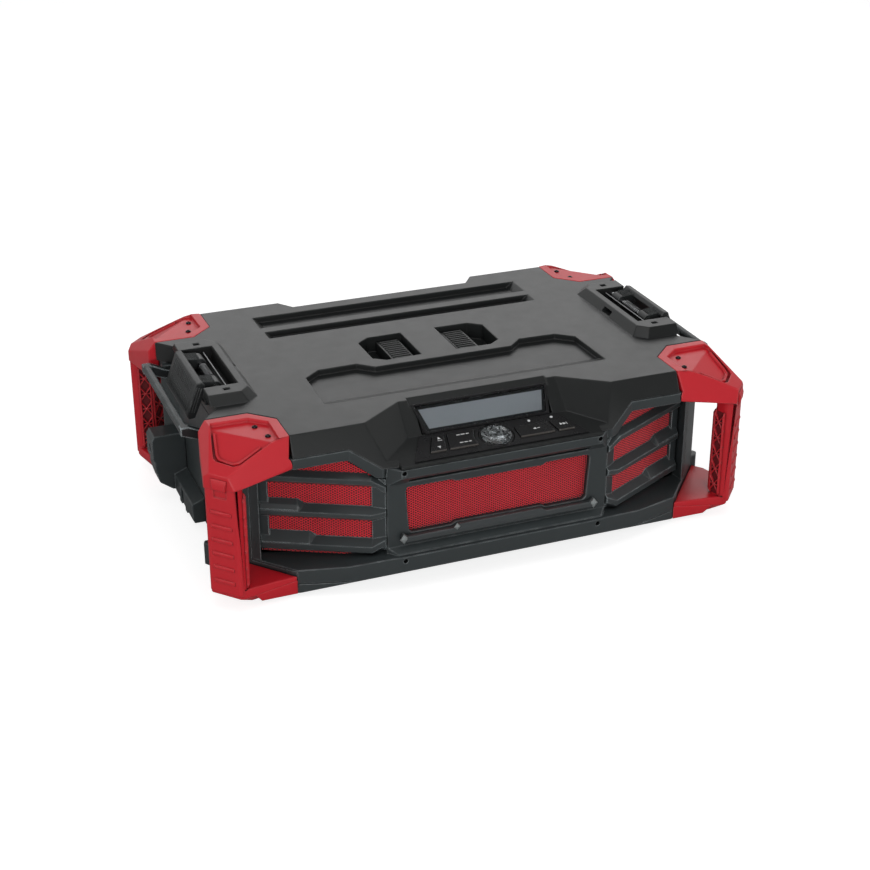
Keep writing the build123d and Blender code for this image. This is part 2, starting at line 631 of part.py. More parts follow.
# ---- speakers -------------------------------------------------------------------------------------
SPEAKER = (56.0, 80.0)     # place along the grille and height


def speaker_axis(depth):
    """Frame at the speaker's centre, depth behind the cloth, with Z pointing back."""
    origin = GRILLE * Pos(SPEAKER[0], depth, SPEAKER[1])
    back = GRILLE.y_dir
    return Plane(origin=origin.position, x_dir=(0, 0, 1), z_dir=back)


def make_baffle():
    """Plate behind the right-hand cloth, with the speaker's opening."""
    plate = grille_bar([(-2, 37), (-2, 118), (-6, 118), (-6, 37)], 4, 112)
    return plate - speaker_axis(-2) * frustum(35.5, 0, 35.5, 12)


def make_speaker_basket():
    """Pressed basket with magnet of the right-hand speaker."""
    basket = frustum(45, 0, 45, 3) + frustum(41, 3, 31, 32) + frustum(34, 32, 34, 50)
    basket -= frustum(38, -1, 38, 2) + frustum(38, 2, 28, 28)
    return speaker_axis(6) * basket


def make_speaker_cone():
    """Paper cone of the right-hand speaker."""
    cone = frustum(36, 0.4, 36, 1.4) + frustum(34, 1.4, 14, 21)
    cone -= frustum(33, -1, 33, 0.6) + frustum(33, 0.6, 12, 19.5)
    return speaker_axis(6) * cone


# ---- inside and back ------------------------------------------------------------------------------
def make_main_board():
    """Receiver and amplifier board on the tub's floor."""
    board = block(-110, 60, -120, -10, FOOT_H + WALL, FOOT_H + WALL + 5)
    board += block(-90, -50, -100, -70, 12, 30)
    return board + block(-20, 30, -90, -50, 12, 18)


def make_power_supply():
    """Mains power supply block on the tub's floor."""
    return block(110, 200, 10, 110, FOOT_H + WALL, 58)


def make_battery_housing():
    """Open box behind the battery door."""
    shell = block(-80, 80, 78, 171.9, 28, 122)
    return shell - block(-75, 75, 82, 180, 32, 118)


def make_battery_pack():
    """Slide-in battery pack standing on the housing's floor."""
    pack = block(-38, 38, 98, 168, 32, 90)
    return pack - block(-38, 38, 98, 112, 84, 95)


def make_battery_terminal():
    """Contact block on the back wall of the battery housing."""
    return block(-22, 22, 82, 97.5, 40, 80)


def make_battery_door():
    """Rear door, hinged along its lower edge."""
    door = block(-74.6, 74.6, 175.4, 178.6, 36, 117.4)
    door += block(-12, 12, 178.6, 181, 108, 112)
    for x0 in (-70, 40):
        door += block(x0, x0 + 30, 175.4, 181, 32.5, 37)
        door -= rod((x0 - 1, 178.4, 34.5), (x0 + 31, 178.4, 34.5), 1.56)
    return door


def make_door_pin():
    """Hinge pin of the battery door."""
    return rod((-74, 178.4, 34.5), (74, 178.4, 34.5), 1.5)


def make_mains_inlet():
    """Two-pole mains socket in the rear wall."""
    body = block(*INLET)
    body -= block(-143, -125, 166, 180, 41, 51)
    return body


def make_fascia_screws():
    """Four screws that hold the front frame, sunk in their holes."""
    screws = []
    for x, y, z in FASCIA_SCREWS:
        head = Pos(x, y + 4.0, z) * Rot(90, 0, 0) * frustum(SCREW_HEAD_R, 0, SCREW_HEAD_R, 2.8, 12)
        screws += [head, flip(head)]
    return Compound(children=screws)


def make_feet():
    """Four rubber feet under the bumper plates."""
    foot = Pos(232, -148, 0) * frustum(12, 0, 12, FOOT_H)
    return Compound(children=[foot, flip(foot), flip_back(foot), flip(flip_back(foot))])


def main():
    parts = {
        "base_tub": make_base_tub(),
        "front_frame": make_front_frame(),
        "centre_cloth": make_centre_cloth(),
        "centre_bezel": make_centre_bezel(),
        "lid_cover": make_lid(),
        "cap_screws_front": make_cap_screws(-1),
        "cap_screws_rear": make_cap_screws(1),
        "fascia_screws": make_fascia_screws(),
        "rubber_feet": make_feet(),
        "control_panel": make_control_panel(),
        "tuning_knob": make_knob(),
        "encoder": make_encoder(),
        "control_board": make_control_board(),
        "indicator_lights": make_indicator_lights(),
        "display_bezel": make_display_bezel(),
        "display_glass": make_display_glass(),
        "lcd_module": make_lcd_module(),
        "main_board": make_main_board(),
        "power_supply": make_power_supply(),
        "battery_housing": make_battery_housing(),
        "battery_pack": make_battery_pack(),
        "battery_terminal": make_battery_terminal(),
        "battery_door": make_battery_door(),
        "door_pin": make_door_pin(),
        "mains_inlet": make_mains_inlet(),
    }
    for name, outline in KEYS.items():
        parts[name] = make_key(outline)
    bumper = make_bumper()
    parts["bumper_front_right"] = bumper
    parts["bumper_front_left"] = flip(bumper)
    parts["bumper_rear_right"] = Rot(0, 0, 180) * flip(bumper)
    parts["bumper_rear_left"] = Rot(0, 0, 180) * bumper
    paired = {
        "grille": make_grille(),
        "speaker_cloth": make_side_cloth(),
        "speaker_baffle": make_baffle(),
        "speaker_basket": make_speaker_basket(),
        "speaker_cone": make_speaker_cone(),
        "latch_lever": make_latch_lever(),
        "latch_pin": make_latch_pin(),
        "latch_spring": make_latch_spring(),
        "carry_handle": make_carry_handle(),
        "stacking_bracket": make_stacking_bracket(),
        "catch_plate": make_catch_plate(),
    }
    for name, shape in paired.items():
        parts[f"{name}_right"] = shape
        parts[f"{name}_left"] = flip(shape)
    os.makedirs("parts", exist_ok=True)
    for name, shape in parts.items():
        export_step(Pos(0, SHIFT_Y, 0) * shape, f"parts/{name}.step")


main()
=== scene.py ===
import math
import random

import bmesh
import bpy
from mathutils import Matrix, Vector


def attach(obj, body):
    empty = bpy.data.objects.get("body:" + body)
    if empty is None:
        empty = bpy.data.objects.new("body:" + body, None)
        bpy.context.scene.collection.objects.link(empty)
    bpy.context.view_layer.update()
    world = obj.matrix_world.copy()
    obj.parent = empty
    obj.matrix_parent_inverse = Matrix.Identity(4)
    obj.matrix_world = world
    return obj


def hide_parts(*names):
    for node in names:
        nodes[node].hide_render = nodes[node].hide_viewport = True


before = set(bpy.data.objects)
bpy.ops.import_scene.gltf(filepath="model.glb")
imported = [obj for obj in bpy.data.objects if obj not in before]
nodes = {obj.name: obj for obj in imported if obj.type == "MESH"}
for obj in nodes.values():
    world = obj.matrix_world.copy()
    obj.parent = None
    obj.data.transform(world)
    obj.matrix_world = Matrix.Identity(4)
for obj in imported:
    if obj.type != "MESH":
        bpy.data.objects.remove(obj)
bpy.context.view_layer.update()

scene = bpy.context.scene

# ---- Studio ----
# The radio stands on a pale floor that runs on to the horizon. A bright wall behind it gives the
# flat tops their sheen, the room in front is dim, and soft lamps hang overhead and to both sides.
LID_TOP = 0.167
CASE_Y = 0.0092
RADIO_MIDDLE = Vector((0, 0, 0.08))
CAMERA_FROM_LID = Vector((-0.5864, -1.4990, 0.6659))
CAMERA_AZIMUTH = math.radians(-21.6)
CAMERA_DROP = math.radians(25.7)

camera_data = bpy.data.cameras.new("camera")
camera_data.lens = 68.9
camera_data.sensor_width = 36.0
camera = bpy.data.objects.new("camera", camera_data)
camera.location = CAMERA_FROM_LID + Vector((0, CASE_Y, LID_TOP))
camera.rotation_euler = (math.pi / 2 - CAMERA_DROP, 0, CAMERA_AZIMUTH)
scene.collection.objects.link(camera)
scene.camera = camera
scene.view_settings.view_transform = "Standard"


def area_lamp(name, size, power, place):
    """Soft rectangular lamp that is aimed at the radio."""
    data = bpy.data.lights.new(name, "AREA")
    data.shape = "RECTANGLE"
    data.size, data.size_y = size
    data.energy = power
    lamp = bpy.data.objects.new(name, data)
    lamp.location = place
    lamp.rotation_euler = (RADIO_MIDDLE - Vector(place)).to_track_quat("-Z", "Y").to_euler()
    scene.collection.objects.link(lamp)


area_lamp("overhead_softbox", (1.4, 0.9), 6, (-0.1, -0.2, 1.9))
area_lamp("back_softbox", (2.6, 0.8), 9, (0.8, 2.1, 1.2))
area_lamp("front_softbox", (1.3, 0.6), 13.5, (-0.55, -2.1, 0.75))
area_lamp("left_strip", (0.4, 1.2), 4, (-1.8, -0.5, 0.8))
area_lamp("right_strip", (0.4, 1.2), 5, (1.7, -0.9, 0.7))


def feed(tree, made, values):
    """Inputs of a node linked to sockets or set to values."""
    for label, value in values.items():
        slot = made.inputs[label]
        if isinstance(value, bpy.types.NodeSocket):
            tree.links.new(value, slot)
        elif value is not None:
            slot.default_value = (*value, 1) if slot.type == "RGBA" else value


def add_node(tree, kind, values=None, **settings):
    made = tree.nodes.new(kind)
    for name, value in settings.items():
        setattr(made, name, value)
    feed(tree, made, values or {})
    return made


def coordinates(tree, kind="Object"):
    return add_node(tree, "ShaderNodeTexCoord").outputs[kind]


def maths(tree, operation, *values):
    """Result of a math node whose inputs are sockets or numbers."""
    return add_node(tree, "ShaderNodeMath", dict(enumerate(values)), operation=operation).outputs[0]


def ramp(tree, value, low, high, start=0.0, end=1.0, curve="LINEAR"):
    """Value carried from one range over to another."""
    return add_node(tree, "ShaderNodeMapRange", {
        "Value": value, "From Min": low, "From Max": high, "To Min": start, "To Max": end},
        interpolation_type=curve).outputs[0]


def new_material(name, values=None):
    """Material, its node tree and its shader."""
    material = bpy.data.materials.new(name)
    material.use_nodes = True
    shader = material.node_tree.nodes["Principled BSDF"]
    feed(material.node_tree, shader, values or {})
    return material, material.node_tree, shader


ROOM_LIGHT = 0.36
FRONT_DIM = 0.10
WALL_BRIGHT = 0.66
WALL_START, WALL_FULL = -0.25, 0.45
WALL_TOP, WALL_FADE = 0.68, 0.25
CEILING_DIM = 0.15

world = bpy.data.worlds.new("studio_air")
world.use_nodes = True
tree = world.node_tree
tree.nodes.clear()
direction = add_node(tree, "ShaderNodeSeparateXYZ", {0: coordinates(tree, "Generated")}).outputs
wall = ramp(tree, direction["Y"], WALL_START, WALL_FULL, FRONT_DIM, WALL_BRIGHT, "SMOOTHSTEP")
crest = ramp(tree, direction["Z"], WALL_TOP - WALL_FADE, WALL_TOP, 1.0, CEILING_DIM, "SMOOTHSTEP")
ray = add_node(tree, "ShaderNodeLightPath").outputs
bounced = maths(tree, "MAXIMUM", ray["Is Glossy Ray"], ray["Is Transmission Ray"])
reflected = maths(tree, "MULTIPLY", bounced, maths(tree, "MULTIPLY", wall, crest))
seen = maths(tree, "MAXIMUM", bounced, ray["Is Camera Ray"])
strength = maths(tree, "MAXIMUM", reflected, ray["Is Camera Ray"])
ambient = maths(tree, "MULTIPLY", maths(tree, "SUBTRACT", 1.0, seen), ROOM_LIGHT)
air = add_node(tree, "ShaderNodeBackground", {
    "Color": (1, 1, 1), "Strength": maths(tree, "ADD", strength, ambient)})
add_node(tree, "ShaderNodeOutputWorld", {"Surface": air.outputs[0]})
scene.world = world

FLOOR_HALF = 6.0
FLOOR_LIFT = 0.80

floor_corners = [(x * FLOOR_HALF, y * FLOOR_HALF, 0) for x, y in ((-1, -1), (1, -1), (1, 1), (-1, 1))]
floor_mesh = bpy.data.meshes.new("floor")
floor_mesh.from_pydata(floor_corners, [], [(0, 1, 2, 3)])
floor = bpy.data.objects.new("floor", floor_mesh)
scene.collection.objects.link(floor)
floor_paint, tree, shader = new_material("floor_paint", {
    "Base Color": (0.45, 0.45, 0.45), "Roughness": 0.8, "Emission Color": (1, 1, 1)})
ray = add_node(tree, "ShaderNodeLightPath").outputs
seen = maths(tree, "MAXIMUM", ray["Is Camera Ray"], ray["Is Transmission Ray"])
feed(tree, shader, {"Emission Strength": maths(tree, "MULTIPLY", seen, FLOOR_LIFT)})
floor.data.materials.append(floor_paint)

# ---- Tub ----
# The tub is one deep injection moulding of glass-filled plastic, spark-eroded to a fine satin grain.
# It carries everything else: the lid and the front screw to it, the bumpers plug over its corners.


def new_group(name, kind, inputs, outputs):
    """Node group with sockets given as (label, kind) or (label, kind, value), and its two ends."""
    group = bpy.data.node_groups.new(name, kind)
    for way, sockets in (("INPUT", inputs), ("OUTPUT", outputs)):
        for label, what, *value in sockets:
            made = group.interface.new_socket(label, in_out=way, socket_type="NodeSocket" + what)
            if value:
                made.default_value = value[0]
    return group, add_node(group, "NodeGroupInput").outputs, add_node(group, "NodeGroupOutput")


def noise(tree, place, scale, detail, roughness=0.5):
    return add_node(tree, "ShaderNodeTexNoise", {
        "Vector": place, "Scale": scale, "Detail": detail, "Roughness": roughness}).outputs["Fac"]


def mix_colours(tree, factor, first, second, blend="MIX"):
    return add_node(tree, "ShaderNodeMix", {0: factor, 6: first, 7: second},
                    data_type="RGBA", blend_type=blend).outputs[2]


def dot(tree, first, second):
    return add_node(tree, "ShaderNodeVectorMath", {0: first, 1: second},
                    operation="DOT_PRODUCT").outputs["Value"]


def kept_share(tree, first, *others):
    """Product of sockets and numbers, kept between 0 and 1."""
    for other in others:
        first = maths(tree, "MULTIPLY", first, other)
    return add_node(tree, "ShaderNodeClamp", {"Value": first}).outputs[0]


FLOW_SCALE, SWING_SCALE, PATCH_SCALE, STREAK_SCALE = 14.0, 70.0, 90.0, 120.0

# Moulded skin: slow flow marks in the colour, a roughness that wanders, and the eroded grain.
moulded_skin, given, told = new_group(
    "moulded_skin", "ShaderNodeTree",
    [("Place", "Vector"), ("Colour", "Color", (0.1, 0.1, 0.1, 1)), ("Tone", "Float", 0.25),
     ("Grain", "Float", 1500.0), ("Roughness", "Float", 0.45), ("Roughness Swing", "Float", 0.10)],
    [("Colour", "Color"), ("Roughness", "Float"), ("Height", "Float")])
tree = moulded_skin
flow = noise(tree, given["Place"], FLOW_SCALE, 4.0, 0.6)
speckle = noise(tree, given["Place"], given["Grain"], 3.0, 0.7)
marks = maths(tree, "ADD", flow, maths(tree, "MULTIPLY", speckle, 0.5))
tone = maths(tree, "MULTIPLY_ADD", maths(tree, "SUBTRACT", marks, 0.75), given["Tone"], 1.0)
shade = add_node(tree, "ShaderNodeCombineColor", {0: tone, 1: tone, 2: tone}).outputs[0]
swing = maths(tree, "SUBTRACT", noise(tree, given["Place"], SWING_SCALE, 4.0, 0.65), 0.5)
feed(tree, told, {
    "Colour": mix_colours(tree, 1.0, given["Colour"], shade, "MULTIPLY"),
    "Roughness": maths(tree, "MULTIPLY_ADD", swing, given["Roughness Swing"], given["Roughness"]),
    "Height": speckle})

# Edge rounding and painted highlight: where the face turns, the shading normal is rounded and the mask pales
# the colour as a painted highlight.
rubbed_edge, given, told = new_group(
    "rubbed_edge", "ShaderNodeTree",
    [("Place", "Vector"), ("Reach", "Float", 0.0012), ("Strength", "Float", 1.0)],
    [("Mask", "Float"), ("Normal", "Vector")])
tree = rubbed_edge
rounded = add_node(tree, "ShaderNodeBevel", {"Radius": given["Reach"]}, samples=4).outputs[0]
turn = dot(tree, rounded, add_node(tree, "ShaderNodeNewGeometry").outputs["Normal"])
bend = maths(tree, "MULTIPLY", maths(tree, "SUBTRACT", 1.0, turn), 5.0)
patchy = maths(tree, "MULTIPLY_ADD", noise(tree, given["Place"], PATCH_SCALE, 3.0), 1.6, -0.35)
feed(tree, told, {"Mask": kept_share(tree, bend, patchy, given["Strength"]), "Normal": rounded})

# Seam shade: painted shade that darkens the colour where two parts meet, found by ambient occlusion.
seam_grime, given, told = new_group(
    "seam_grime", "ShaderNodeTree",
    [("Place", "Vector"), ("Reach", "Float", 0.0035), ("Strength", "Float", 0.85)],
    [("Mask", "Float")])
tree = seam_grime
openness = add_node(tree, "ShaderNodeAmbientOcclusion", {"Distance": given["Reach"]}, samples=8)
hidden = maths(tree, "POWER", maths(tree, "SUBTRACT", 1.0, openness.outputs["AO"]), 1.3)
streaky = maths(tree, "MULTIPLY_ADD", noise(tree, given["Place"], STREAK_SCALE, 3.0), 0.6, 0.7)
strong = maths(tree, "MULTIPLY", given["Strength"], 1.7)
feed(tree, told, {"Mask": kept_share(tree, hidden, streaky, strong)})


def placed(tree, group, **values):
    """Outputs of a node group, which reads the piece's own coordinates unless given others."""
    if "Place" not in values:
        values["Place"] = coordinates(tree)
    return add_node(tree, "ShaderNodeGroup", values, node_tree=group).outputs


def relief(tree, shader, height, strength, distance, normal=None):
    """Bump of the given height on a shader."""
    bump = add_node(tree, "ShaderNodeBump", {
        "Strength": strength, "Distance": distance, "Height": height, "Normal": normal})
    feed(tree, shader, {"Normal": bump.outputs["Normal"]})


GRAIN_DEPTH = 0.0001
SEAM_SHADE_TONE = 0.12


def moulded(name, colour, highlight_colour, roughness, grain=1500.0, depth=0.25, tone=0.25, reach=0.0012,
            highlight_strength=0.8):
    """Injection-moulded plastic: grained skin, rounded edges with a painted highlight, and painted shade in
    its seams.
    """
    material, tree, shader = new_material(name)
    skin = placed(tree, moulded_skin, Colour=colour, Tone=tone, Grain=grain, Roughness=roughness)
    edge = placed(tree, rubbed_edge, Reach=reach, Strength=highlight_strength)
    # The edge mask pales the colour towards the second colour: a painted highlight along the edges.
    highlighted = mix_colours(tree, edge["Mask"], skin["Colour"], highlight_colour)
    # The seam mask darkens the colour: painted shade where parts meet.
    shade_mask = placed(tree, seam_grime)["Mask"]
    dark = tuple(SEAM_SHADE_TONE * part for part in colour)
    feed(tree, shader, {"Base Color": mix_colours(tree, shade_mask, highlighted, dark), "Roughness": skin["Roughness"]})
    relief(tree, shader, skin["Height"], depth, GRAIN_DEPTH, edge["Normal"])
    return material


def paint(material, *names):
    """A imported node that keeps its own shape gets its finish."""
    for name in names:
        data = nodes[name].data
        data.materials.clear()
        data.materials.append(material)


def bring_in(name, mesh, material, body, stands_for=()):
    """New piece with its place in its mesh, riding on a body."""
    mesh.materials.clear()
    mesh.materials.append(material)
    piece = bpy.data.objects.new(name, mesh)
    scene.collection.objects.link(piece)
    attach(piece, body)
    if stands_for:
        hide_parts(*stands_for)
    return piece


WELD = 1e-5
FLAT = math.radians(0.4)


def merged(name):
    """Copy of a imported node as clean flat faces."""
    source = bmesh.new()
    source.from_mesh(nodes[name].data)
    bmesh.ops.remove_doubles(source, verts=source.verts, dist=WELD)
    bmesh.ops.dissolve_limit(source, angle_limit=FLAT, verts=source.verts, edges=source.edges)
    return source


def edge_gap(one, two):
    """Least distance between two edges of a flat face that don't meet."""
    gaps = []
    for edge, other in ((one, two), (two, one)):
        start, along = edge.verts[0].co, edge.verts[1].co - edge.verts[0].co
        for vert in other.verts:
            part = max(0.0, min(1.0, (vert.co - start).dot(along) / max(along.length_squared, 1e-18)))
            gaps.append((start + part * along - vert.co).length)
    return min(gaps)


SAME_FACE = math.radians(1)
CORNER = math.radians(14)
GAP_SHARE = 0.42

# How far the edges of a thick, a thin and a fine moulding are rounded.
THICK, THIN, FINE = 0.0008, 0.0006, 0.0004


def broken_edges(name, width, material, body="radio", steps=2):
    """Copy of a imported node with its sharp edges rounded, less where the next edge is near."""
    source = merged(name)
    weight = source.edges.layers.float.new("bevel_weight_edge")
    for edge in source.edges:
        bend = edge.calc_face_angle(0)
        edge.smooth = bend < SAME_FACE or bend > CORNER
        if bend > CORNER:
            others = [other for face in edge.link_faces for other in face.edges if other is not edge]
            room = min(other.calc_length() if set(other.verts) & set(edge.verts) else edge_gap(edge, other)
                       for other in others)
            edge[weight] = min(1.0, GAP_SHARE * room / width)
    mesh = bpy.data.meshes.new(name + "_moulding")
    source.to_mesh(mesh)
    source.free()
    mesh.polygons.foreach_set("use_smooth", [True] * len(mesh.polygons))
    piece = bring_in(name + "_moulding", mesh, material, body, (name,))
    rounding = piece.modifiers.new("rounded_edges", "BEVEL")
    rounding.width = width
    rounding.segments = steps
    rounding.limit_method = "WEIGHT"
    rounding.use_clamp_overlap = False
    flats = piece.modifiers.new("flat_faces", "WEIGHTED_NORMAL")
    flats.mode = "FACE_AREA"
    flats.weight = 100
    flats.keep_sharp = True


CASE_BLACK = (0.036, 0.044, 0.046)
# Pale colour painted along the case's edges as a highlight.
CASE_HIGHLIGHT = (0.30, 0.335, 0.345)

case_plastic = moulded("case_plastic", CASE_BLACK, CASE_HIGHLIGHT, 0.42, reach=0.0018, highlight_strength=1.6)
broken_edges("base_tub", THICK, case_plastic)

# ---- Inside ----
# Boards, power supply, battery and loudspeakers are screwed to the tub before it is closed. Little
# of them shows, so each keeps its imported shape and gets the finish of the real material.
BOARD_GREEN = (0.012, 0.075, 0.035)
CARD_GREY = (0.05, 0.048, 0.045)
DRAWING_DEPTH = 0.00005

# The boards' pale edge colour is a painted highlight.
board_lacquer = moulded("board_lacquer", BOARD_GREEN, (0.25, 0.2, 0.08), 0.3, grain=500.0, highlight_strength=0.4)
cone_paper = moulded("cone_paper", CARD_GREY, CARD_GREY, 0.9, grain=900.0, depth=0.6)
inner_black = moulded("inner_black", (0.02, 0.02, 0.021), (0.05, 0.05, 0.05), 0.6)


def metal(name, colour, roughness, streak=(1.0, 1.0, 1.0)):
    """Bare or plated metal with fine drawing marks along one direction."""
    material, tree, shader = new_material(name, {"Metallic": 1.0})
    drawn = add_node(tree, "ShaderNodeMapping", {"Vector": coordinates(tree), "Scale": streak}).outputs[0]
    skin = placed(tree, moulded_skin, Place=drawn, Colour=colour, Tone=0.3, Grain=900.0,
                  Roughness=roughness)
    edge = placed(tree, rubbed_edge, Reach=0.0004, Strength=0.5)
    feed(tree, shader, {"Base Color": skin["Colour"], "Roughness": skin["Roughness"]})
    relief(tree, shader, skin["Height"], 0.2, DRAWING_DEPTH, edge["Normal"])
    return material


basket_zinc = metal("basket_zinc", (0.42, 0.43, 0.44), 0.4)
paint(board_lacquer, "main_board", "control_board")
paint(inner_black, "battery_housing", "battery_pack", "encoder", "speaker_baffle_left",
      "speaker_baffle_right")
paint(basket_zinc, "power_supply", "battery_terminal", "speaker_basket_left", "speaker_basket_right")
paint(cone_paper, "speaker_cone_left", "speaker_cone_right")

# ---- Speaker cloths ----
# Three panels of red perforated speaker cloth, each stretched over a frame behind its opening. The
# side ones bulge a little where no slat holds them, the middle one is crowned as a whole.
CLOTH_RED = (0.80, 0.024, 0.040)
HOLE_RED = (0.020, 0.001, 0.002)
HOLE_PITCH = 0.0026
HOLE_EDGE = -0.35
CLOTH_GRID = 0.004
CLOTH_THICK = 0.0006
FACING = 0.9
GRILLE_DIRECTION = Vector((0.8856, 0.4645, 0))
SLAT_GAPS = [(0.0315, 0.0335), (0.0515, 0.0695), (0.086, 0.106), (0.121, 0.135)]
MIDDLE_GAP = (0.055, 0.104)
SIDE_BULGE = 0.0007
MIDDLE_BULGE = 0.0016

# Perforation: three waves at 60 degrees to each other leave a hole wherever their crests meet.
perforation, given, told = new_group(
    "perforation", "ShaderNodeTree",
    [("Place", "Vector"), ("Pitch", "Float", HOLE_PITCH), ("Sharpness", "Float", 1.6)],
    [("Hole", "Float"), ("Height", "Float")])
tree = perforation
waves = None
for angle in (0, 60, 120):
    aim = (math.cos(math.radians(angle)), math.sin(math.radians(angle)), 0)
    step = maths(tree, "DIVIDE", dot(tree, given["Place"], aim), given["Pitch"])
    wave = maths(tree, "COSINE", maths(tree, "MULTIPLY", step, 2 * math.pi / math.sin(math.pi / 3)))
    waves = wave if waves is None else maths(tree, "ADD", waves, wave)
hole = kept_share(tree, maths(tree, "SUBTRACT", waves, HOLE_EDGE), given["Sharpness"])
feed(tree, told, {"Hole": hole, "Height": maths(tree, "SUBTRACT", 1.0, hole)})

speaker_cloth, tree, shader = new_material("speaker_cloth", {"Sheen Weight": 0.15})
skin = placed(tree, moulded_skin, Colour=CLOTH_RED, Tone=0.35, Grain=2200.0, Roughness=0.78)
holes = placed(tree, perforation, Place=coordinates(tree, "UV"))
feed(tree, shader, {"Base Color": mix_colours(tree, holes["Hole"], skin["Colour"], HOLE_RED),
                    "Roughness": skin["Roughness"]})
relief(tree, shader, holes["Height"], 0.8, 0.0003)


def cloth_panel(name, outward, along, bulge):
    """Front face of a packed cloth, divided into a grid, bulged and laid out flat for the weave."""
    sheet = merged(name)
    back = [face for face in sheet.faces if face.normal.dot(outward) < FACING]
    bmesh.ops.delete(sheet, geom=back, context="FACES")
    for axis in (along, Vector((0, 0, 1))):
        places = [vert.co.dot(axis) for vert in sheet.verts]
        count = int((max(places) - min(places)) / CLOTH_GRID)
        for step in range(1, count):
            at = min(places) + (max(places) - min(places)) * step / count
            bmesh.ops.bisect_plane(sheet, geom=[*sheet.verts, *sheet.edges, *sheet.faces],
                                   plane_co=axis * at, plane_no=axis)
    places = [vert.co.dot(along) for vert in sheet.verts]
    middle, half = (max(places) + min(places)) / 2, (max(places) - min(places)) / 2
    area = sum(face.calc_area() for face in sheet.faces)
    for vert in sheet.verts:
        vert.co += outward * bulge((vert.co.dot(along) - middle) / half, vert.co.z)
    weave = sheet.loops.layers.uv.new("weave")
    for face in sheet.faces:
        face.smooth = True
        for loop in face.loops:
            loop[weave].uv = (loop.vert.co.dot(along), loop.vert.co.z)
    mesh = bpy.data.meshes.new(name + "_stretched")
    sheet.to_mesh(mesh)
    sheet.free()
    piece = bring_in(name + "_stretched", mesh, speaker_cloth, "radio", (name,))
    thickness = piece.modifiers.new("cloth_thickness", "SOLIDIFY")
    thickness.thickness = CLOTH_THICK
    thickness.offset = -1


def side_bulge(across, height):
    for low, high in SLAT_GAPS:
        if low < height < high:
            return SIDE_BULGE * math.sin(math.pi * (height - low) / (high - low)) * (1 - across ** 4)
    return 0.0


def middle_bulge(across, height):
    low, high = MIDDLE_GAP
    rise = max(0.0, math.sin(math.pi * (height - low) / (high - low)))
    return MIDDLE_BULGE * (1 - across ** 4) * rise ** 0.6


SIDES = ((1, "right"), (-1, "left"))
for side, name in SIDES:
    along = Vector((side * GRILLE_DIRECTION.x, GRILLE_DIRECTION.y, 0))
    outward = Vector((side * GRILLE_DIRECTION.y, -GRILLE_DIRECTION.x, 0))
    cloth_panel("speaker_cloth_" + name, outward, along, side_bulge)
cloth_panel("centre_cloth", Vector((0, -1, 0)), Vector((1, 0, 0)), middle_bulge)

# ---- Front frame ----
# The front frame is one moulding that closes the tub: sill, columns, middle window and the brows
# over the side grilles. The slatted grilles clip into it from behind, and four screws hold it.
SLAT_BLACK = (0.040, 0.048, 0.050)
TRIM_GREY = (0.050, 0.057, 0.059)

broken_edges("front_frame", THICK, case_plastic)
# The slats' pale blue-white edge colour is a painted highlight along their front edges.
slat_plastic = moulded("slat_plastic", SLAT_BLACK, (0.55, 0.62, 0.64), 0.34, reach=0.0014, highlight_strength=1.8)
for name in ("grille_left", "grille_right"):
    broken_edges(name, THIN, slat_plastic)
# The trim's pale edge colour is a painted highlight.
trim_plastic = moulded("trim_plastic", TRIM_GREY, (0.42, 0.46, 0.47), 0.36, reach=0.0014, highlight_strength=1.3)
broken_edges("centre_bezel", THIN, trim_plastic)

SMOOTH_UNDER = math.radians(35)


def solid(name, shape, smooth=False):
    """Mesh of a closed shape, flat or smooth over all but its sharp edges."""
    bmesh.ops.recalc_face_normals(shape, faces=shape.faces)
    mesh = bpy.data.meshes.new(name)
    shape.to_mesh(mesh)
    shape.free()
    if smooth:
        mesh.shade_smooth()
        mesh.set_sharp_from_angle(angle=SMOOTH_UNDER)
    return mesh


def bridge(shape, low, high, skip=None):
    """Faces between two rings of as many points, but for one side."""
    for i in range(len(low)):
        j = (i + 1) % len(low)
        if i != skip:
            shape.faces.new((low[i], low[j], high[j], high[i]))


def skinned(name, rings, smooth=False):
    """Closed solid through rings of points, capped at both ends."""
    shape = bmesh.new()
    rows = [[shape.verts.new(point) for point in ring] for ring in rings]
    for low, high in zip(rows, rows[1:]):
        bridge(shape, low, high)
    shape.faces.new(rows[-1])
    shape.faces.new(list(reversed(rows[0])))
    return solid(name, shape, smooth)


# Small diamond bosses stand on the trim, each given by its place and half its width.
DIAMONDS = [(-0.1010, 0.0515, 0.0046), (-0.0462, 0.0545, 0.0036), (0.1010, 0.0515, 0.0046)]
DIAMOND_STRETCH = 1.2
TRAY_FRONT = -0.1935 + CASE_Y

diamond_grey = moulded("diamond_grey", (0.24, 0.265, 0.265), (0.40, 0.43, 0.43), 0.4)
shape = bmesh.new()
for x, z, half in DIAMONDS:
    rim = [shape.verts.new((x + half * across, TRAY_FRONT + 0.0004, z + DIAMOND_STRETCH * half * up))
           for across, up in ((1, 0), (0, 1), (-1, 0), (0, -1))]
    tip = shape.verts.new((x, TRAY_FRONT - 0.0011, z))
    for i in range(4):
        shape.faces.new((rim[i], rim[(i + 1) % 4], tip))
    shape.faces.new(list(reversed(rim)))
bring_in("bezel_diamonds", solid("bezel_diamonds", shape), diamond_grey, "radio")


def new_tree(name, *inputs):
    """Geometry node tree that also takes a material, and its two ends."""
    return new_group(name, "GeometryNodeTree",
                     [("Geometry", "Geometry"), *inputs, ("Material", "Material")],
                     [("Geometry", "Geometry")])


def finish_tree(tree, given, told, instances):
    """Realize Instances and Set Material, which every tree here ends in."""
    real = add_node(tree, "GeometryNodeRealizeInstances", {"Geometry": instances}).outputs[0]
    coat = add_node(tree, "GeometryNodeSetMaterial", {"Geometry": real, "Material": given["Material"]})
    feed(tree, told, {0: coat.outputs[0]})


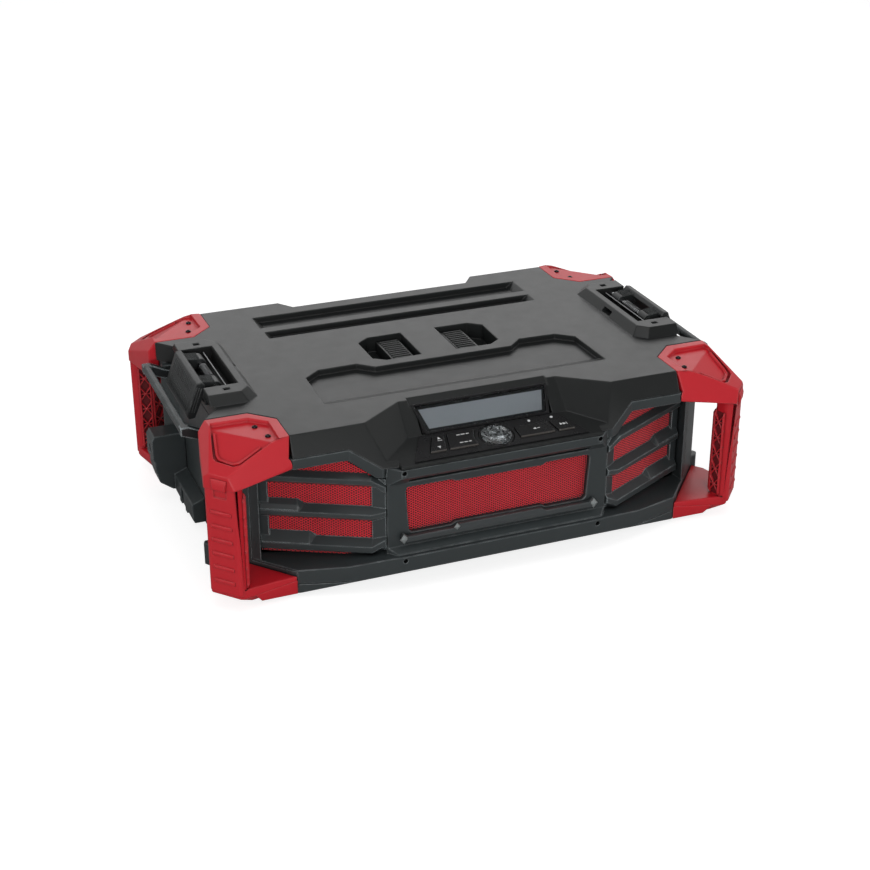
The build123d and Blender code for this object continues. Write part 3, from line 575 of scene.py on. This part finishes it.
def grow(tree, values, base=None):
    """Mesh that a geometry node tree makes with the given input values."""
    host = bpy.data.objects.new("host", base or bpy.data.meshes.new("host"))
    scene.collection.objects.link(host)
    maker = host.modifiers.new("maker", "NODES")
    maker.node_group = tree
    for item in tree.interface.items_tree:
        if item.in_out == "INPUT" and item.name in values:
            maker[item.identifier] = values[item.name]
    bpy.context.view_layer.update()
    made = host.evaluated_get(bpy.context.evaluated_depsgraph_get())
    mesh = bpy.data.meshes.new_from_object(made)
    bpy.data.objects.remove(host)
    return mesh


# One screw on every point of a small guide mesh, its head turned to the point's own direction.
screw_field, given, told = new_tree("screw_field", ("Head", "Object"))
tree = screw_field
head = add_node(tree, "GeometryNodeObjectInfo", {"Object": given["Head"]}, transform_space="ORIGINAL")
outward = add_node(tree, "GeometryNodeInputNamedAttribute", {"Name": "outward"},
                   data_type="FLOAT_VECTOR").outputs["Attribute"]
facing = add_node(tree, "FunctionNodeAlignRotationToVector", {"Vector": outward}, axis="Z")
fasten = add_node(tree, "GeometryNodeInstanceOnPoints", {
    "Points": given["Geometry"], "Instance": head.outputs["Geometry"], "Rotation": facing.outputs[0]})
finish_tree(tree, given, told, fasten.outputs[0])

HEAD_SIDES = 24
HEAD_RINGS = ((1.0, 0, 0), (1.0, 0.45, 0), (0.86, 0.85, 0), (0.6, 1.0, 0), (0.5, 1.0, 1), (0.46, 0.35, 1))
LOBE_DEPTH = 0.13


def circle(radius, height, count, phase=0.0):
    """Points round the Z axis at one height."""
    return [(radius * math.cos(2 * math.pi * (i + phase) / count),
             radius * math.sin(2 * math.pi * (i + phase) / count), height) for i in range(count)]


def screw_head(name, radius, rise):
    """Pan head with a six-lobed driver recess, standing on Z = 0."""
    rings = []
    for scale, height, lobed in HEAD_RINGS:
        ring = []
        for i, (x, y, z) in enumerate(circle(radius * scale, rise * height, HEAD_SIDES)):
            lobe = 1 - LOBE_DEPTH * lobed * (1 - math.cos(6 * 2 * math.pi * i / HEAD_SIDES))
            ring.append((x * lobe, y * lobe, z))
        rings.append(ring)
    return bpy.data.objects.new(name, skinned(name, rings, smooth=True))


def screws(name, places, outward, head, material, stands_for):
    """Screws at the given places, all facing outward, in one piece."""
    guide = bpy.data.meshes.new(name + "_places")
    guide.from_pydata(places, [], [])
    facing = guide.attributes.new("outward", "FLOAT_VECTOR", "POINT")
    for item in facing.data:
        item.vector = outward
    mesh = grow(screw_field, {"Head": head, "Material": material}, guide)
    bring_in(name, mesh, material, "radio", stands_for)


def islands(name):
    """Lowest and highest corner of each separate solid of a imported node."""
    source = merged(name)
    left, boxes = set(source.verts), []
    while left:
        found, edge = set(), [left.pop()]
        while edge:
            vert = edge.pop()
            found.add(vert)
            for link in vert.link_edges:
                other = link.other_vert(vert)
                if other in left:
                    left.discard(other)
                    edge.append(other)
        boxes.append([Vector([limit(vert.co[i] for vert in found) for i in range(3)])
                      for limit in (min, max)])
    source.free()
    return boxes


def mirrored_copy(mesh, side, end=1):
    """Copy for the left side (side -1) or the back (end -1), moved to where the case stands."""
    copy = mesh.copy()
    copy.transform(Matrix.Translation((0, CASE_Y, 0)) @ Matrix.Diagonal((side, end, 1, 1)))
    if side * end < 0:
        copy.flip_normals()
    return copy


# A web inside the sill's end closes the gap to the tub's corner.
SILL_WEB = [(0.2026, -0.1745), (0.2072, -0.1712), (0.2108, -0.1672), (0.2112, -0.1600), (0.2026, -0.1600)]
web = skinned("sill_web", [[(x, y, z) for x, y in SILL_WEB] for z in (0.0180, 0.0277)])
for side, name in SIDES:
    bring_in("sill_web_" + name, mirrored_copy(web, side), case_plastic, "radio")

blackened_steel = metal("blackened_steel", (0.035, 0.035, 0.037), 0.35)
fascia_head = screw_head("fascia_head", 0.0021, 0.0022)
places = [((low.x + high.x) / 2, high.y, (low.z + high.z) / 2) for low, high in islands("fascia_screws")]
screws("fascia_screw_heads", places, (0, -1, 0), fascia_head, blackened_steel, ("fascia_screws",))

# ---- Lid ----
# The lid is a thick moulding in the same satin plastic, with a stepped field, two long rails for the
# case above, two wells with their ribbed catch plates, and the console cut into its front edge.
LID_GREY = (0.013, 0.0145, 0.0145)
# The lid's pale edge colour is a painted highlight along its creases.
lid_plastic = moulded("lid_plastic", LID_GREY, (0.13, 0.14, 0.14), 0.39, tone=0.2, reach=0.0014, highlight_strength=1.0)
broken_edges("lid_cover", THICK, lid_plastic)
for name in ("catch_plate_left", "catch_plate_right"):
    broken_edges(name, FINE, lid_plastic)

# ---- Display ----
# A liquid crystal module lies in the lid's pocket, under a clear window held by a black frame. Its
# field is plain grey while the radio is off.
panel_black = moulded("panel_black", (0.011, 0.011, 0.012), (0.04, 0.04, 0.042), 0.28, depth=0.1)
broken_edges("display_bezel", FINE, panel_black)


def thin_skin(name, values, **look):
    """Smooth film or clear window, with the moulded skin's colour and roughness but not its relief."""
    material, tree, shader = new_material(name, values)
    skin = placed(tree, moulded_skin, **look)
    feed(tree, shader, {"Base Color": skin["Colour"], "Roughness": skin["Roughness"]})
    return material


DISPLAY_TILT = math.asin(0.6905)
DISPLAY = Matrix.Translation((0, -0.14665 + CASE_Y, 0.15205)) @ Matrix.Rotation(DISPLAY_TILT, 4, "X")
FIELD_TOP, FIELD_BOTTOM, FIELD_HALF = 0.0700, 0.0642, 0.0151
FILM_SHRINK = -0.0017
FILM_HEIGHTS = (-0.0023, -0.00184)
MASK_HEIGHTS = (-0.00188, -0.00182)
MASK_OUTSIDE, MASK_INSIDE, LINE_INSIDE = -0.0016, -0.0042, -0.0047

lcd_film = thin_skin("lcd_film", {}, Colour=(0.56, 0.595, 0.62), Tone=0.06, Grain=3000.0, Roughness=0.3)
paint(inner_black, "lcd_module")


def field_corners(grow, height):
    """Corners of the display's trapezoid, grown on all sides."""
    return [DISPLAY @ Vector((x, y, height)) for x, y in (
        (-FIELD_BOTTOM - grow, -FIELD_HALF - grow), (FIELD_BOTTOM + grow, -FIELD_HALF - grow),
        (FIELD_TOP + grow, FIELD_HALF + grow), (-FIELD_TOP - grow, FIELD_HALF + grow))]


def ring_frame(name, inner, outer, heights, material):
    """Flat frame that follows the display's outline, between two offsets from it."""
    low, high = heights
    shape = bmesh.new()
    loops = [[shape.verts.new(corner) for corner in field_corners(offset, height)]
             for offset, height in ((outer, low), (outer, high), (inner, high), (inner, low))]
    for near, far in zip(loops, loops[1:] + loops[:1]):
        bridge(shape, near, far)
    bring_in(name, solid(name, shape), material, "radio")


# A printed mask under the window hides the module's metal frame, with a fine light line inside it.
mask_ink = moulded("mask_ink", (0.24, 0.255, 0.265), (0.24, 0.255, 0.265), 0.5, depth=0.05)
line_ink = moulded("line_ink", (0.75, 0.79, 0.81), (0.75, 0.79, 0.81), 0.5, depth=0.05)
field = skinned("lcd_field", [field_corners(FILM_SHRINK, height) for height in FILM_HEIGHTS])
bring_in("lcd_field", field, lcd_film, "radio")
ring_frame("display_mask", MASK_INSIDE, MASK_OUTSIDE, MASK_HEIGHTS, mask_ink)
ring_frame("display_line", LINE_INSIDE, MASK_INSIDE, MASK_HEIGHTS, line_ink)

ACRYLIC = {"Transmission Weight": 1.0, "IOR": 1.49}
window = thin_skin("display_window", ACRYLIC, Colour=(0.93, 0.95, 0.97), Tone=0.03, Grain=2000.0,
                   Roughness=0.05)
broken_edges("display_glass", FINE, window)

# ---- Console ----
# Under the display a black panel carries four rubber-dome keys with printed signs, two indicator
# lights and the tuning knob, a clear faceted dome over a foiled disc.
CONSOLE = Matrix.Translation((0, -0.176 + CASE_Y, 0.1371)) @ Matrix.Rotation(math.radians(11.6), 4, "X")
PANEL_ROUNDING = 0.0003
KEY_ROUNDING = 0.0010
KEY_BLACK = (0.010, 0.010, 0.0105)
KEY_FRONT = Vector((0, -1, 0.2))
KEY_FRONT_HIGHLIGHT = (0.085, 0.078, 0.072)
FACING_FROM, FACING_FULL = 0.35, 0.8


def painted_facing_light(material, direction, colour):
    """Painted highlight: a lighter colour on the faces of a material that turn to one direction."""
    tree = material.node_tree
    shader = tree.nodes["Principled BSDF"]
    plain = shader.inputs["Base Color"].links[0].from_socket
    facing = dot(tree, coordinates(tree, "Normal"), direction.normalized())
    feed(tree, shader, {
        "Base Color": mix_colours(tree, ramp(tree, facing, FACING_FROM, FACING_FULL), plain, colour)})


broken_edges("control_panel", PANEL_ROUNDING, panel_black)
key_plastic = moulded("key_plastic", KEY_BLACK, (0.16, 0.16, 0.165), 0.26, depth=0.15, reach=0.0009, highlight_strength=1.2)
# Painted highlight: the keys' faces that turn to the front are painted lighter, a light line along their
# lower edges.
painted_facing_light(key_plastic, CONSOLE.to_3x3() @ KEY_FRONT, KEY_FRONT_HIGHLIGHT)
for name in ("key_far_left", "key_left", "key_right", "key_far_right"):
    broken_edges(name, KEY_ROUNDING, key_plastic, body=name, steps=3)


def arrow(x, y, size, turn):
    """Triangle that points along turn."""
    return [(x + size * math.cos(turn + a), y + size * math.sin(turn + a)) for a in (0, 2.2, -2.2)]


def dash(x, y, length, height):
    return [(x + across * length / 2, y + up * height / 2)
            for across, up in ((-1, -1), (1, -1), (1, 1), (-1, 1))]


def joined(name, meshes):
    """One mesh out of several."""
    shape = bmesh.new()
    for mesh in meshes:
        shape.from_mesh(mesh)
    mesh = bpy.data.meshes.new(name)
    shape.to_mesh(mesh)
    shape.free()
    mesh.set_sharp_from_angle(angle=SMOOTH_UNDER)
    return mesh


KEY_TOP = 0.00262
INK = (KEY_TOP - 0.0002, KEY_TOP + 0.00005)
WORD = 0.0013
LEGENDS = {
    "key_far_left": [arrow(-0.0565, 0.0065, 0.0022, math.pi / 2), dash(-0.0565, 0.0030, 0.0045, 0.0007),
                     arrow(-0.0605, -0.0065, 0.0022, -math.pi / 2)],
    "key_left": [dash(-0.0365, 0.0065, 0.0036, WORD), dash(-0.0318, 0.0065, 0.0040, WORD),
                 dash(-0.0270, 0.0065, 0.0034, WORD), dash(-0.0375, -0.0055, 0.0036, WORD),
                 dash(-0.0328, -0.0055, 0.0038, WORD), dash(-0.0285, -0.0055, 0.0026, WORD)],
    "key_right": [arrow(0.0400, -0.0035, 0.0021, math.pi), dash(0.0437, -0.0035, 0.0030, 0.0009)],
    "key_far_right": [arrow(0.0680, -0.0035, 0.0021, 0), arrow(0.0713, -0.0035, 0.0021, 0),
                      dash(0.0740, -0.0035, 0.0007, 0.0036)],
}
legend_white = moulded("legend_white", (0.75, 0.76, 0.76), (0.8, 0.8, 0.8), 0.5)
for name, marks in LEGENDS.items():
    prints = [skinned("mark", [[CONSOLE @ Vector((x, y, z)) for x, y in outline] for z in INK])
              for outline in marks]
    bring_in(name + "_legend", joined(name + "_legend", prints), legend_white, name)

lamp_lens = moulded("lamp_lens", (0.75, 0.77, 0.78), (0.85, 0.85, 0.85), 0.2, depth=0.05)
paint(lamp_lens, "indicator_lights")


def turned(name, profile, sides, smooth=True):
    """Closed solid turned about Z from (radius, height) points that run from the axis to the axis."""
    shape = bmesh.new()
    rings = [[shape.verts.new(point) for point in circle(radius, height, sides if radius else 1)]
             for radius, height in profile]
    for low, high in zip(rings, rings[1:]):
        for i in range(sides):
            j = (i + 1) % sides
            corners = [low[i % len(low)], low[j % len(low)], high[j % len(high)], high[i % len(high)]]
            shape.faces.new(list(dict.fromkeys(corners)))
    return solid(name, shape, smooth)


# The knob's rim, foiled disc and clear dome are three pieces of one turning knob, drawn round the
# knob's own axis.
KNOB = CONSOLE @ Matrix.Translation((0, -0.002, 0))
KNOB_R = 0.0173
RIM_PROFILE = [(0, -0.0024), (KNOB_R, -0.0024), (KNOB_R, 0.0008), (KNOB_R - 0.0006, 0.0014),
               (KNOB_R - 0.0018, 0.0014), (KNOB_R - 0.0022, 0.0002), (0, 0.0002)]
DOME_PROFILE = [(0, 0.0014), (KNOB_R - 0.0020, 0.0014), (KNOB_R - 0.0020, 0.0022),
                (KNOB_R - 0.0045, 0.0032), (KNOB_R - 0.0085, 0.0039), (0.004, 0.0042), (0, 0.0042)]
FOIL_R, FOIL_RINGS, FOIL_TWIST = KNOB_R - 0.0023, 5, 0.3

rim = turned("knob_rim", RIM_PROFILE, 72)
rim.transform(KNOB)
bring_in("knob_rim", rim, panel_black, "knob")

random.seed(11)
foil = bmesh.new()
rings = [[foil.verts.new((0, 0, 0.0010))]]
for ring in range(1, FOIL_RINGS + 1):
    points = circle(FOIL_R * ring / FOIL_RINGS, 0.0007, 6 * ring, FOIL_TWIST * ring)
    rings.append([foil.verts.new((x, y, z + random.uniform(-0.0005, 0.0006))) for x, y, z in points])
for inner, outer in zip(rings, rings[1:]):
    for i in range(len(outer)):
        j = (i + 1) % len(outer)
        near, far = inner[i * len(inner) // len(outer)], inner[j * len(inner) // len(outer) % len(inner)]
        foil.faces.new((outer[i], outer[j], near))
        if far is not near:
            foil.faces.new((outer[j], far, near))
mesh = solid("knob_foil", foil)
mesh.transform(KNOB)
foil_silver, tree, shader = new_material("foil_silver", {"Metallic": 0.9})
crinkle = add_node(tree, "ShaderNodeTexVoronoi", {"Vector": coordinates(tree), "Scale": 620.0})
chip = add_node(tree, "ShaderNodeSeparateColor", {0: crinkle.outputs["Color"]}).outputs
pale = maths(tree, "POWER", chip[0], 1.1)
feed(tree, shader, {"Base Color": mix_colours(tree, pale, (0.02, 0.022, 0.022), (0.85, 0.88, 0.89)),
                    "Roughness": maths(tree, "MULTIPLY_ADD", chip[1], 0.35, 0.15)})
relief(tree, shader, chip[2], 0.7, 0.0006)
bring_in("knob_foil", mesh, foil_silver, "knob")

dome_clear = thin_skin("dome_clear", ACRYLIC, Colour=(0.86, 0.88, 0.89), Tone=0.1, Grain=900.0,
                       Roughness=0.06)
dome = turned("knob_dome", DOME_PROFILE, 24, smooth=False)
dome.transform(KNOB)
bring_in("knob_dome", dome, dome_clear, "knob", ("tuning_knob",))

# ---- Corner bumpers ----
# Four red bumpers in tough nylon plug over the corners, with a screwed cap on the lid, a hand bar
# and a foot plate. Six ribs cross the bar outside, and a lattice of ribs stiffens its inner face.
RED = (0.62, 0.012, 0.023)
# Pale red painted along the bumpers' edges as a highlight.
RED_HIGHLIGHT = (0.86, 0.13, 0.14)
BUMPER_ROUNDING = 0.0012
CORNERS = [(end_name + "_" + name, side, end) for end, end_name in ((1, "front"), (-1, "rear"))
           for side, name in SIDES]

bumper_nylon = moulded("bumper_nylon", RED, RED_HIGHLIGHT, 0.40, grain=1200.0, tone=0.16, reach=0.0018)
for name, _, _ in CORNERS:
    broken_edges("bumper_" + name, BUMPER_ROUNDING, bumper_nylon)

RIB_ROOT = 0.0004
RIB_END, RIB_END_SLOPE = 0.4, 1.3
RIB_SECTION = [(-0.5, 0.15), (-0.3, 0.8), (0, 1), (0.3, 0.8), (0.5, 0.15)]


def ridge(name, length, width, height):
    """Rounded rib along X, standing on Z = 0, with sloped ends."""
    section = [(-0.5, -RIB_ROOT), *((across, up * height) for across, up in RIB_SECTION), (0.5, -RIB_ROOT)]
    half, slope = length / 2, RIB_END_SLOPE * height
    ends = [(-half, RIB_END), (slope - half, 1.0), (half - slope, 1.0), (half, RIB_END)]
    return skinned(name, [[(x, width * across, up * scale if up > 0 else up) for across, up in section]
                          for x, scale in ends], smooth=True)


def set_on(origin, along, outward):
    """Placement whose X runs along and whose Z points outward."""
    along, outward = Vector(along).normalized(), Vector(outward).normalized()
    turn = Matrix((along, outward.cross(along), outward)).transposed().to_4x4()
    return Matrix.Translation(origin) @ turn


# Copies of one item in a straight row, as a mould maker spaces ribs.
row, given, told = new_tree("row", ("Item", "Object"), ("Count", "Int"), ("Start", "Vector"),
                            ("Step", "Vector"))
tree = row
line = add_node(tree, "GeometryNodeMeshLine", {
    "Count": given["Count"], "Start Location": given["Start"], "Offset": given["Step"]})
item = add_node(tree, "GeometryNodeObjectInfo", {"Object": given["Item"]}, transform_space="ORIGINAL")
spread = add_node(tree, "GeometryNodeInstanceOnPoints", {
    "Points": line.outputs[0], "Instance": item.outputs["Geometry"]})
finish_tree(tree, given, told, spread.outputs[0])


def in_row(mesh, placement, count, start, step, material):
    """Mesh of a row of items that are turned by a placement and start at its origin."""
    item = mesh.copy()
    item.transform(placement.to_3x3().to_4x4())
    holder = bpy.data.objects.new(mesh.name, item)
    made = grow(row, {"Item": holder, "Count": count, "Start": Vector(start) + placement.translation,
                      "Step": Vector(step), "Material": material})
    bpy.data.objects.remove(holder)
    return made


CORNER_MIDDLE = Vector((0.2735, -0.1730, 0))
CORNER_ALONG = Vector((0.663, 0.749, 0))
CORNER_OUT = Vector((0.749, -0.663, 0))
UP = Vector((0, 0, 1))
BAR_FACE = -0.0004
BAR_DEPTH = 0.0214
GRIP_FROM, GRIP_PITCH, GRIP_COUNT = 0.031, 0.0145, 6
CELL_FROM, CELL, CELL_COUNT = 0.0355, 0.0178, 5
RAIL_LENGTH, RAIL_MIDDLE, RAIL_INSET = 0.094, 0.0710, 0.0009
SHADOW_PLATE_INSET, SHADOW_PLATE_LOW, SHADOW_PLATE_HIGH, SHADOW_PLATE_DEPTHS = 0.0008, 0.0245, 0.1175, (-0.0003, 0.0002)
INNER_HALF, SIDE_HALF = 0.0110, 0.0065
LEAN_ALONG, LEAN_IN, SIDE_ALONG, SIDE_IN = 0.8437, 0.5369, 0.0145, 0.0159

outer_face = set_on(CORNER_MIDDLE + CORNER_OUT * BAR_FACE, CORNER_ALONG, CORNER_OUT)
inner_face = set_on(CORNER_MIDDLE - CORNER_OUT * BAR_DEPTH, -CORNER_ALONG, -CORNER_OUT)
grip_ribs = in_row(ridge("grip_rib", 0.023, 0.0042, 0.0015), outer_face, GRIP_COUNT, GRIP_FROM * UP,
                   GRIP_PITCH * UP, bumper_nylon)
lattice_faces = [(inner_face, INNER_HALF)]
for side in (-1, 1):
    outward = CORNER_ALONG * (side * LEAN_ALONG) - CORNER_OUT * LEAN_IN
    middle = CORNER_MIDDLE + CORNER_ALONG * (side * SIDE_ALONG) - CORNER_OUT * SIDE_IN
    lattice_faces.append((set_on(middle, UP.cross(outward), outward), SIDE_HALF))
lattice, cell_floors = [], []
for face, half in lattice_faces:
    slants = []
    for turn in (-1, 1):
        slant = ridge("slant", 2 * math.hypot(half, CELL / 2), 0.0020, 0.0026)
        slant.transform(Matrix.Rotation(turn * math.atan2(CELL / 2, half), 4, "Z"))
        slants.append(slant)
    cell = joined("lattice_cell", [*slants, ridge("rung", 2 * half, 0.0018, 0.0024)])
    lattice.append(in_row(cell, face, CELL_COUNT, CELL_FROM * UP, CELL * UP, bumper_nylon))
    for across in (RAIL_INSET - half, half - RAIL_INSET):
        rail = ridge("rail", RAIL_LENGTH, 0.0022, 0.0027)
        upright = Matrix.Translation((across, RAIL_MIDDLE, 0)) @ Matrix.Rotation(math.pi / 2, 4, "Z")
        rail.transform(face @ upright)
        lattice.append(rail)
    edge = half - SHADOW_PLATE_INSET
    # A thin dark red plate under each lattice is painted shadow for the hollows between the ribs.
    plate = skinned("cell_floor", [[(x, y, z) for x, y in (
        (-edge, SHADOW_PLATE_LOW), (edge, SHADOW_PLATE_LOW), (edge, SHADOW_PLATE_HIGH), (-edge, SHADOW_PLATE_HIGH))]
        for z in SHADOW_PLATE_DEPTHS])
    plate.transform(face)
    cell_floors.append(plate)

# The cap's pocket ends in a raised bead that keeps grit off its slope.
POCKET_TOP = 0.163
SLOPE = [Vector((0.218, -0.166, POCKET_TOP)), Vector((0.266, -0.117, POCKET_TOP)),
         Vector((0.2735, -0.173, 0.1382))]
BEAD_PLAN = [(0.2635, -0.1250), (0.2675, -0.1480), (0.2665, -0.1545), (0.2575, -0.1660), (0.2515, -0.1685),
             (0.2300, -0.1645)]
BEAD_SECTION = [(-0.0021, -0.0004), (-0.0019, 0.0006), (-0.0007, 0.0024), (0.0007, 0.0024),
                (0.0019, 0.0006), (0.0021, -0.0004)]

slope_up = (SLOPE[1] - SLOPE[0]).cross(SLOPE[2] - SLOPE[0]).normalized()
slope_up *= math.copysign(1, slope_up.z)
bead_path = [Vector((x, y, -(Vector((x, y, 0)) - SLOPE[0]).dot(slope_up) / slope_up.z)) for x, y in BEAD_PLAN]
rings = []
for i, point in enumerate(bead_path):
    before, after = bead_path[max(i - 1, 0)], bead_path[min(i + 1, len(bead_path) - 1)]
    side = (after - before).normalized().cross(slope_up)
    rings.append([point + side * across + slope_up * up for across, up in BEAD_SECTION])
bead = skinned("bead", rings, smooth=True)

# Under the hand bar the foot plate runs on to the sill in a bevelled toe, and a pad for the thumb
# stands on the corner where the bar leaves the cap.
TOE_PLAN = [(0.2033, -0.1752), (0.2460, -0.1799), (0.2420, -0.1740), (0.2074, -0.1706)]
TOE_BEVEL = [(0.2033, -0.1751), (0.2390, -0.1754), (0.2360, -0.1725), (0.2074, -0.1706)]
TOE = [(TOE_BEVEL, (0.0041, 0.0041, 0.0041, 0.0041)), (TOE_PLAN, (0.0140, 0.0136, 0.0140, 0.0140)),
       (TOE_PLAN, (0.0184, 0.0142, 0.0160, 0.0180))]
THUMB_PAD = [(0.0088, 0.0062, -0.0010, 0.0072, -0.0052, -0.0010),
             (0.0088, 0.0062, 0.0006, 0.0072, -0.0052, 0.0006),
             (0.0070, 0.0016, 0.0024, 0.0060, -0.0040, 0.0022)]

toe = skinned("toe", [[(x, y, z) for (x, y), z in zip(plan, heights)] for plan, heights in TOE])
thumb_pad = skinned("thumb_pad", [
    [(-wide, top, rise), (wide, top, rise), (slim, low, fall), (-slim, low, fall)]
    for wide, top, rise, slim, low, fall in THUMB_PAD])
thumb_pad.transform(outer_face @ Matrix.Translation((0, 0.1325, 0.0004)))
fittings = joined("bumper_fittings", [grip_ribs, *lattice, bead, toe, thumb_pad])
# Dark red of the plates: painted shadow in the bar's hollow cells.
hollow_red = moulded("hollow_red", (0.16, 0.005, 0.009), (0.2, 0.008, 0.012), 0.7)
cell_shadow_mesh = joined("cell_floors", cell_floors)
for name, side, end in CORNERS:
    bring_in("bumper_ribs_" + name, mirrored_copy(fittings, side, end), bumper_nylon, "radio")
    bring_in("bumper_cells_" + name, mirrored_copy(cell_shadow_mesh, side, end), hollow_red, "radio")

rubber_black = moulded("rubber_black", (0.012, 0.012, 0.012), (0.03, 0.03, 0.03), 0.75, grain=700.0,
                       depth=0.5)
broken_edges("rubber_feet", THIN, rubber_black)

cap_head = screw_head("cap_head", 0.0027, 0.0017)
for name in ("cap_screws_front", "cap_screws_rear"):
    places = [((low.x + high.x) / 2, (low.y + high.y) / 2, low.z) for low, high in islands(name)]
    screws(name + "_heads", places, (0, 0, 1), cap_head, blackened_steel, (name,))

# ---- Latches ----
# Each latch is a flanged lever on a steel pin, thrown over the lid's edge by a torsion spring that
# is wound round the middle of the pin.
LATCH_BLACK = (0.018, 0.020, 0.0205)
LEVER_ROUNDING = 0.0007
ALONG_PIN = (1.0, 0.1, 1.0)

# The lever's pale edge colour is a painted highlight.
latch_plastic = moulded("latch_plastic", LATCH_BLACK, (0.22, 0.235, 0.235), 0.40, reach=0.0014, highlight_strength=1.1)
for _, name in SIDES:
    broken_edges("latch_lever_" + name, LEVER_ROUNDING, latch_plastic, body="latch_" + name)
pin_steel = metal("pin_steel", (0.55, 0.56, 0.57), 0.25, ALONG_PIN)
paint(pin_steel, "latch_pin_left", "latch_pin_right", "door_pin")

# The lever's plate is ribbed above and below a plain band, its flanges and arms are ribbed too.
PLATE_HIGH, PLATE_LOW = Vector((0.2585, 0, 0.178)), Vector((0.2705, 0, 0.146))
BAND_HALF, FLANGE_Y, ARM_Y, ARM_SLOPE = 0.0084, 0.044, 0.030, 0.09
plate_along = (PLATE_LOW - PLATE_HIGH).normalized()
plate_out = Vector((-plate_along.z, 0, plate_along.x))
plate_face = set_on((PLATE_HIGH + PLATE_LOW) / 2, plate_along, plate_out)
plate_rib = ridge("plate_rib", 0.0115, 0.0016, 0.0006)
flange_rib = ridge("flange_rib", 0.026, 0.0014, 0.0006)
arm_rib = ridge("arm_rib", 0.0150, 0.0009, 0.0005)
rib_rows = [(plate_rib, plate_face, 15, plate_along * shift + Vector((0, -0.035, 0)), (0, 0.005, 0))
            for shift in (-BAND_HALF, BAND_HALF)]
for end in (-1, 1):
    flange_face = set_on((0.2622, end * FLANGE_Y, 0.162), plate_along, (0, end, 0))
    rib_rows.append((flange_rib, flange_face, 3, plate_out * -0.0042, plate_out * 0.0024))
for end in (-1, 1):
    arm_face = set_on((0.2463, end * ARM_Y, 0.1768), (1, 0, ARM_SLOPE), (-ARM_SLOPE, 0, 1))
    rib_rows.append((arm_rib, arm_face, 7, (0, -0.0066, 0), (0, 0.0022, 0)))
lever_ribs = joined("lever_ribs", [in_row(*ribs, latch_plastic) for ribs in rib_rows])

# A near-black tray lines the opening that the lever and its spring work in, open on the lever's side; its
# colour is painted shade for the deep well.
WELL_X, WELL_Y, WELL_FLOOR, WELL_LIP, TRAY_INSET = (0.2194, 0.2465), 0.0496, 0.1607, 0.1752, 0.0004
OPEN_SIDE = 1
shape = bmesh.new()
low_x, high_x = WELL_X
inside, rim, outside, inner = (
    [shape.verts.new((x, y, height)) for x, y in (
        (low_x + inset, inset - WELL_Y), (high_x - inset, inset - WELL_Y),
        (high_x - inset, WELL_Y - inset), (low_x + inset, WELL_Y - inset))]
    for inset, height in ((TRAY_INSET, WELL_LIP), (0, WELL_LIP), (0, WELL_FLOOR), (TRAY_INSET, WELL_FLOOR + TRAY_INSET)))
for low, high in ((rim, outside), (inside, rim), (inner, inside)):
    bridge(shape, low, high, OPEN_SIDE)
shape.faces.new(inner)
shape.faces.new(list(reversed(outside)))
well_shade_tray = solid("latch_well_liner", shape)
# Near-black finish: painted shade in the latch well.
liner_black = moulded("liner_black", (0.004, 0.0042, 0.0043), (0.02, 0.02, 0.02), 0.7)
for side, name in SIDES:
    bring_in("latch_well_liner_" + name, mirrored_copy(well_shade_tray, side), liner_black, "radio")

# Spring wound of round wire at a constant radius.
wound_spring, given, told = new_tree("wound_spring", ("Turns", "Float"), ("Radius", "Float"),
                                     ("Length", "Float"), ("Wire", "Float"))
tree = wound_spring
coil = add_node(tree, "GeometryNodeCurveSpiral", {
    "Resolution": 20, "Rotations": given["Turns"], "Start Radius": given["Radius"],
    "End Radius": given["Radius"], "Height": given["Length"]})
section = add_node(tree, "GeometryNodeCurvePrimitiveCircle", {"Resolution": 8, "Radius": given["Wire"]})
drawn = add_node(tree, "GeometryNodeCurveToMesh", {
    "Fill Caps": True, "Curve": coil.outputs[0], "Profile Curve": section.outputs[0]})
finish_tree(tree, given, told, drawn.outputs[0])

PIN_X, PIN_Z = 0.238, 0.170
LEG_PLACE, LEG_HALF, LEG_WIRE = (0.2295, 0, 0.1722), 0.046, 0.0007
SPRING_LENGTH = 0.0296
LYING = Matrix.Rotation(math.pi / 2, 4, "X")

spring_steel = metal("spring_steel", (0.24, 0.245, 0.25), 0.34, ALONG_PIN)
coils = grow(wound_spring, {"Turns": 11.0, "Radius": 0.0038, "Length": SPRING_LENGTH, "Wire": 0.0006,
                            "Material": spring_steel})
coils.transform(Matrix.Translation((PIN_X, SPRING_LENGTH / 2, PIN_Z)) @ LYING)
leg = turned("spring_leg", [(0, -LEG_HALF), (LEG_WIRE, -LEG_HALF), (LEG_WIRE, LEG_HALF), (0, LEG_HALF)], 10)
leg.transform(Matrix.Translation(LEG_PLACE) @ LYING)
spring = joined("latch_spring", [coils, leg])
spring.shade_smooth()
for side, name in SIDES:
    bring_in("latch_ribs_" + name, mirrored_copy(lever_ribs, side), latch_plastic, "latch_" + name)
    bring_in("spring_coil_" + name, mirrored_copy(spring, side), spring_steel, "radio",
             ("latch_spring_" + name,))

# ---- Handles and brackets ----
# A swing handle of glossy black nylon turns in lugs on each side. Under it a bracket with two hook
# legs takes the latches of the case below.
HANDLE_BLACK = (0.012, 0.016, 0.017)
# Painted highlight: the handle's strong, wide pale edge colour draws the two light lines along its bar.
handle_nylon = moulded("handle_nylon", HANDLE_BLACK, (0.58, 0.66, 0.68), 0.42, reach=0.0022, highlight_strength=3.0)
for _, name in SIDES:
    broken_edges("carry_handle_" + name, LEVER_ROUNDING, handle_nylon, body="handle_" + name)
    broken_edges("stacking_bracket_" + name, THICK, case_plastic)

# ---- Back ----
# A door in the back wall hinges down on a steel pin and covers the battery, with the two-pole mains
# inlet beside it.
broken_edges("battery_door", THIN, case_plastic, body="rear_door")
broken_edges("mains_inlet", FINE, panel_black)
